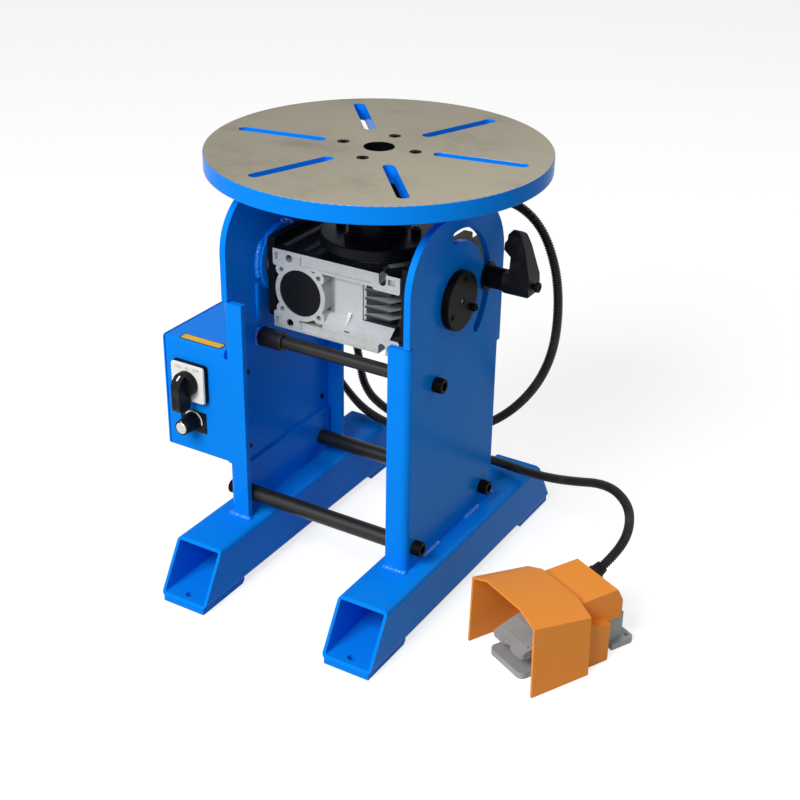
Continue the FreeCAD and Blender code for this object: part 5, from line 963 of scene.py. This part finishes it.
class POSITIONER_OT_conduits(bpy.types.Operator):
    """Lays the motor's and the pedal's ribbed conduits"""
    bl_idname = "positioner.conduits"
    bl_label = "Conduits"

    def execute(self, context):
        diameter = settings("conduit").diameter
        tube, points = ribbed_conduit("motor_conduit_tube", MOTOR_ROUTE)
        tube.data.materials.append(MATERIALS["conduit_plastic"])
        box_end, motor_end = Vector(MOTOR_ROUTE[-1]), Vector(MOTOR_ROUTE[0])
        motor_end.y = box_end.y
        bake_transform(tube)
        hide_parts("motor_conduit")
        tube, points = ribbed_conduit("pedal_conduit_tube", PEDAL_ROUTE)
        settle(tube, "pedal_conduit_tube", "conduit_plastic", "frame")
        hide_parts("pedal_conduit")
        return {"FINISHED"}


# ---------------------------------------------------------------- stage

def area_lamp(name, place, aim, size, power):
    """A square lamp that points at a place; its power is in watts."""
    data = bpy.data.lights.new(name, "AREA")
    data.shape = "SQUARE"
    data.size = size
    data.energy = power
    lamp = bpy.data.objects.new(name, data)
    bpy.context.scene.collection.objects.link(lamp)
    lamp.location = place
    lamp.rotation_euler = (Vector(aim) - Vector(place)).to_track_quat("-Z", "Y").to_euler()
    return lamp


def seen_rays(tree):
    """One for rays that show the surroundings: the camera's, mirrored ones and those through glass."""
    path = tree.nodes.new("ShaderNodeLightPath")
    return maths(tree, "MAXIMUM", path.outputs["Is Camera Ray"],
                 maths(tree, "MAXIMUM", path.outputs["Is Glossy Ray"], path.outputs["Is Transmission Ray"]))


class POSITIONER_OT_stage(bpy.types.Operator):
    """Sets the floor, the lamps, the pale surroundings and the camera"""
    bl_idname = "positioner.stage"
    bl_label = "Stage"

    def execute(self, context):
        scene = context.scene
        scene.view_settings.view_transform = "Standard"
        self.surroundings(scene)
        area_lamp("key_lamp", place=(-0.25, -2.55, 2.35), aim=(0, 0, 0.25), size=1.6, power=100)
        area_lamp("rim_lamp", place=(1.2, 2.0, 1.9), aim=(0, 0, 0.3), size=1.4, power=8)
        self.floor()
        self.camera(scene)
        return {"FINISHED"}

    def surroundings(self, scene):
        """A room that is white to the eye and in reflections, and lights the shade only a little."""
        world = bpy.data.worlds.new("pale_room")
        scene.world = world
        world.use_nodes = True
        tree = world.node_tree
        background = tree.nodes["Background"]
        background.inputs["Color"].default_value = (1, 1, 1, 1)
        tree.links.new(ranged(tree, seen_rays(tree), 0.0, 1.0, 0.22, 1.0), background.inputs["Strength"])

    def floor(self):
        """A plain pale floor just below the pads."""
        bpy.ops.object.select_all(action="DESELECT")
        bpy.ops.mesh.primitive_plane_add(size=14.0, location=(0, 0, -0.0004))
        floor = bpy.context.object
        floor.name = "floor"
        material = bpy.data.materials.new("pale_floor")
        material.use_nodes = True
        tree = material.node_tree
        shader = tree.nodes["Principled BSDF"]
        shader.inputs["Base Color"].default_value = (0.5, 0.5, 0.5, 1)
        shader.inputs["Roughness"].default_value = 0.8
        shader.inputs["Specular IOR Level"].default_value = 0.0
        shader.inputs["Emission Color"].default_value = (1, 1, 1, 1)
        tree.links.new(maths(tree, "MULTIPLY", seen_rays(tree), 0.74), shader.inputs["Emission Strength"])
        floor.data.materials.append(material)

    def camera(self, scene):
        """The camera, built from its turn, rise and roll."""
        chosen = settings("camera")
        data = bpy.data.cameras.new("view")
        data.sensor_width = 36.0
        data.lens = chosen.lens
        data.shift_x = 0.0055
        data.shift_y = -0.0007
        data.clip_end = 50.0
        camera = bpy.data.objects.new("view", data)
        scene.collection.objects.link(camera)
        turn, rise = chosen.azimuth, chosen.elevation
        look = Vector((-math.sin(turn) * math.cos(rise), math.cos(turn) * math.cos(rise), -math.sin(rise)))
        level = Vector((math.cos(turn), math.sin(turn), 0))
        upright = level.cross(look)
        right = level * math.cos(chosen.roll) + upright * math.sin(chosen.roll)
        up = upright * math.cos(chosen.roll) - level * math.sin(chosen.roll)
        axes = Matrix((right, up, -look)).transposed().to_4x4()
        camera.matrix_world = Matrix.Translation(chosen.place) @ axes
        scene.camera = camera


# ---------------------------------------------------------------- panel and registration

OPERATORS = (POSITIONER_OT_materials, POSITIONER_OT_stage, POSITIONER_OT_conduits, POSITIONER_OT_feet,
             POSITIONER_OT_cheeks, POSITIONER_OT_welds, POSITIONER_OT_bars, POSITIONER_OT_head,
             POSITIONER_OT_table, POSITIONER_OT_clamp, POSITIONER_OT_control_box, POSITIONER_OT_pedal)


class POSITIONER_PT_finish(bpy.types.Panel):
    """Lists the settings and the steps of the finish"""
    bl_idname = "POSITIONER_PT_finish"
    bl_label = "Welding Positioner"
    bl_space_type = "VIEW_3D"
    bl_region_type = "UI"
    bl_category = "Positioner"

    def draw(self, context):
        for name in SETTINGS:
            group = getattr(context.scene, name)
            box = self.layout.box()
            for prop in group.__annotations__:
                box.prop(group, prop)
        for operator in OPERATORS:
            self.layout.operator(operator.bl_idname)


CLASSES = (*SETTINGS.values(), *OPERATORS, POSITIONER_PT_finish)


def register():
    for item in CLASSES:
        bpy.utils.register_class(item)
    for name, group in SETTINGS.items():
        setattr(bpy.types.Scene, name, PointerProperty(type=group))


def unregister():
    for name in SETTINGS:
        delattr(bpy.types.Scene, name)
    for item in reversed(CLASSES):
        bpy.utils.unregister_class(item)


def main():
    """Runs every step in order."""
    register()
    for operator in OPERATORS:
        getattr(bpy.ops.positioner, operator.bl_idname.split(".")[1])()


if __name__ == "__main__":
    main()
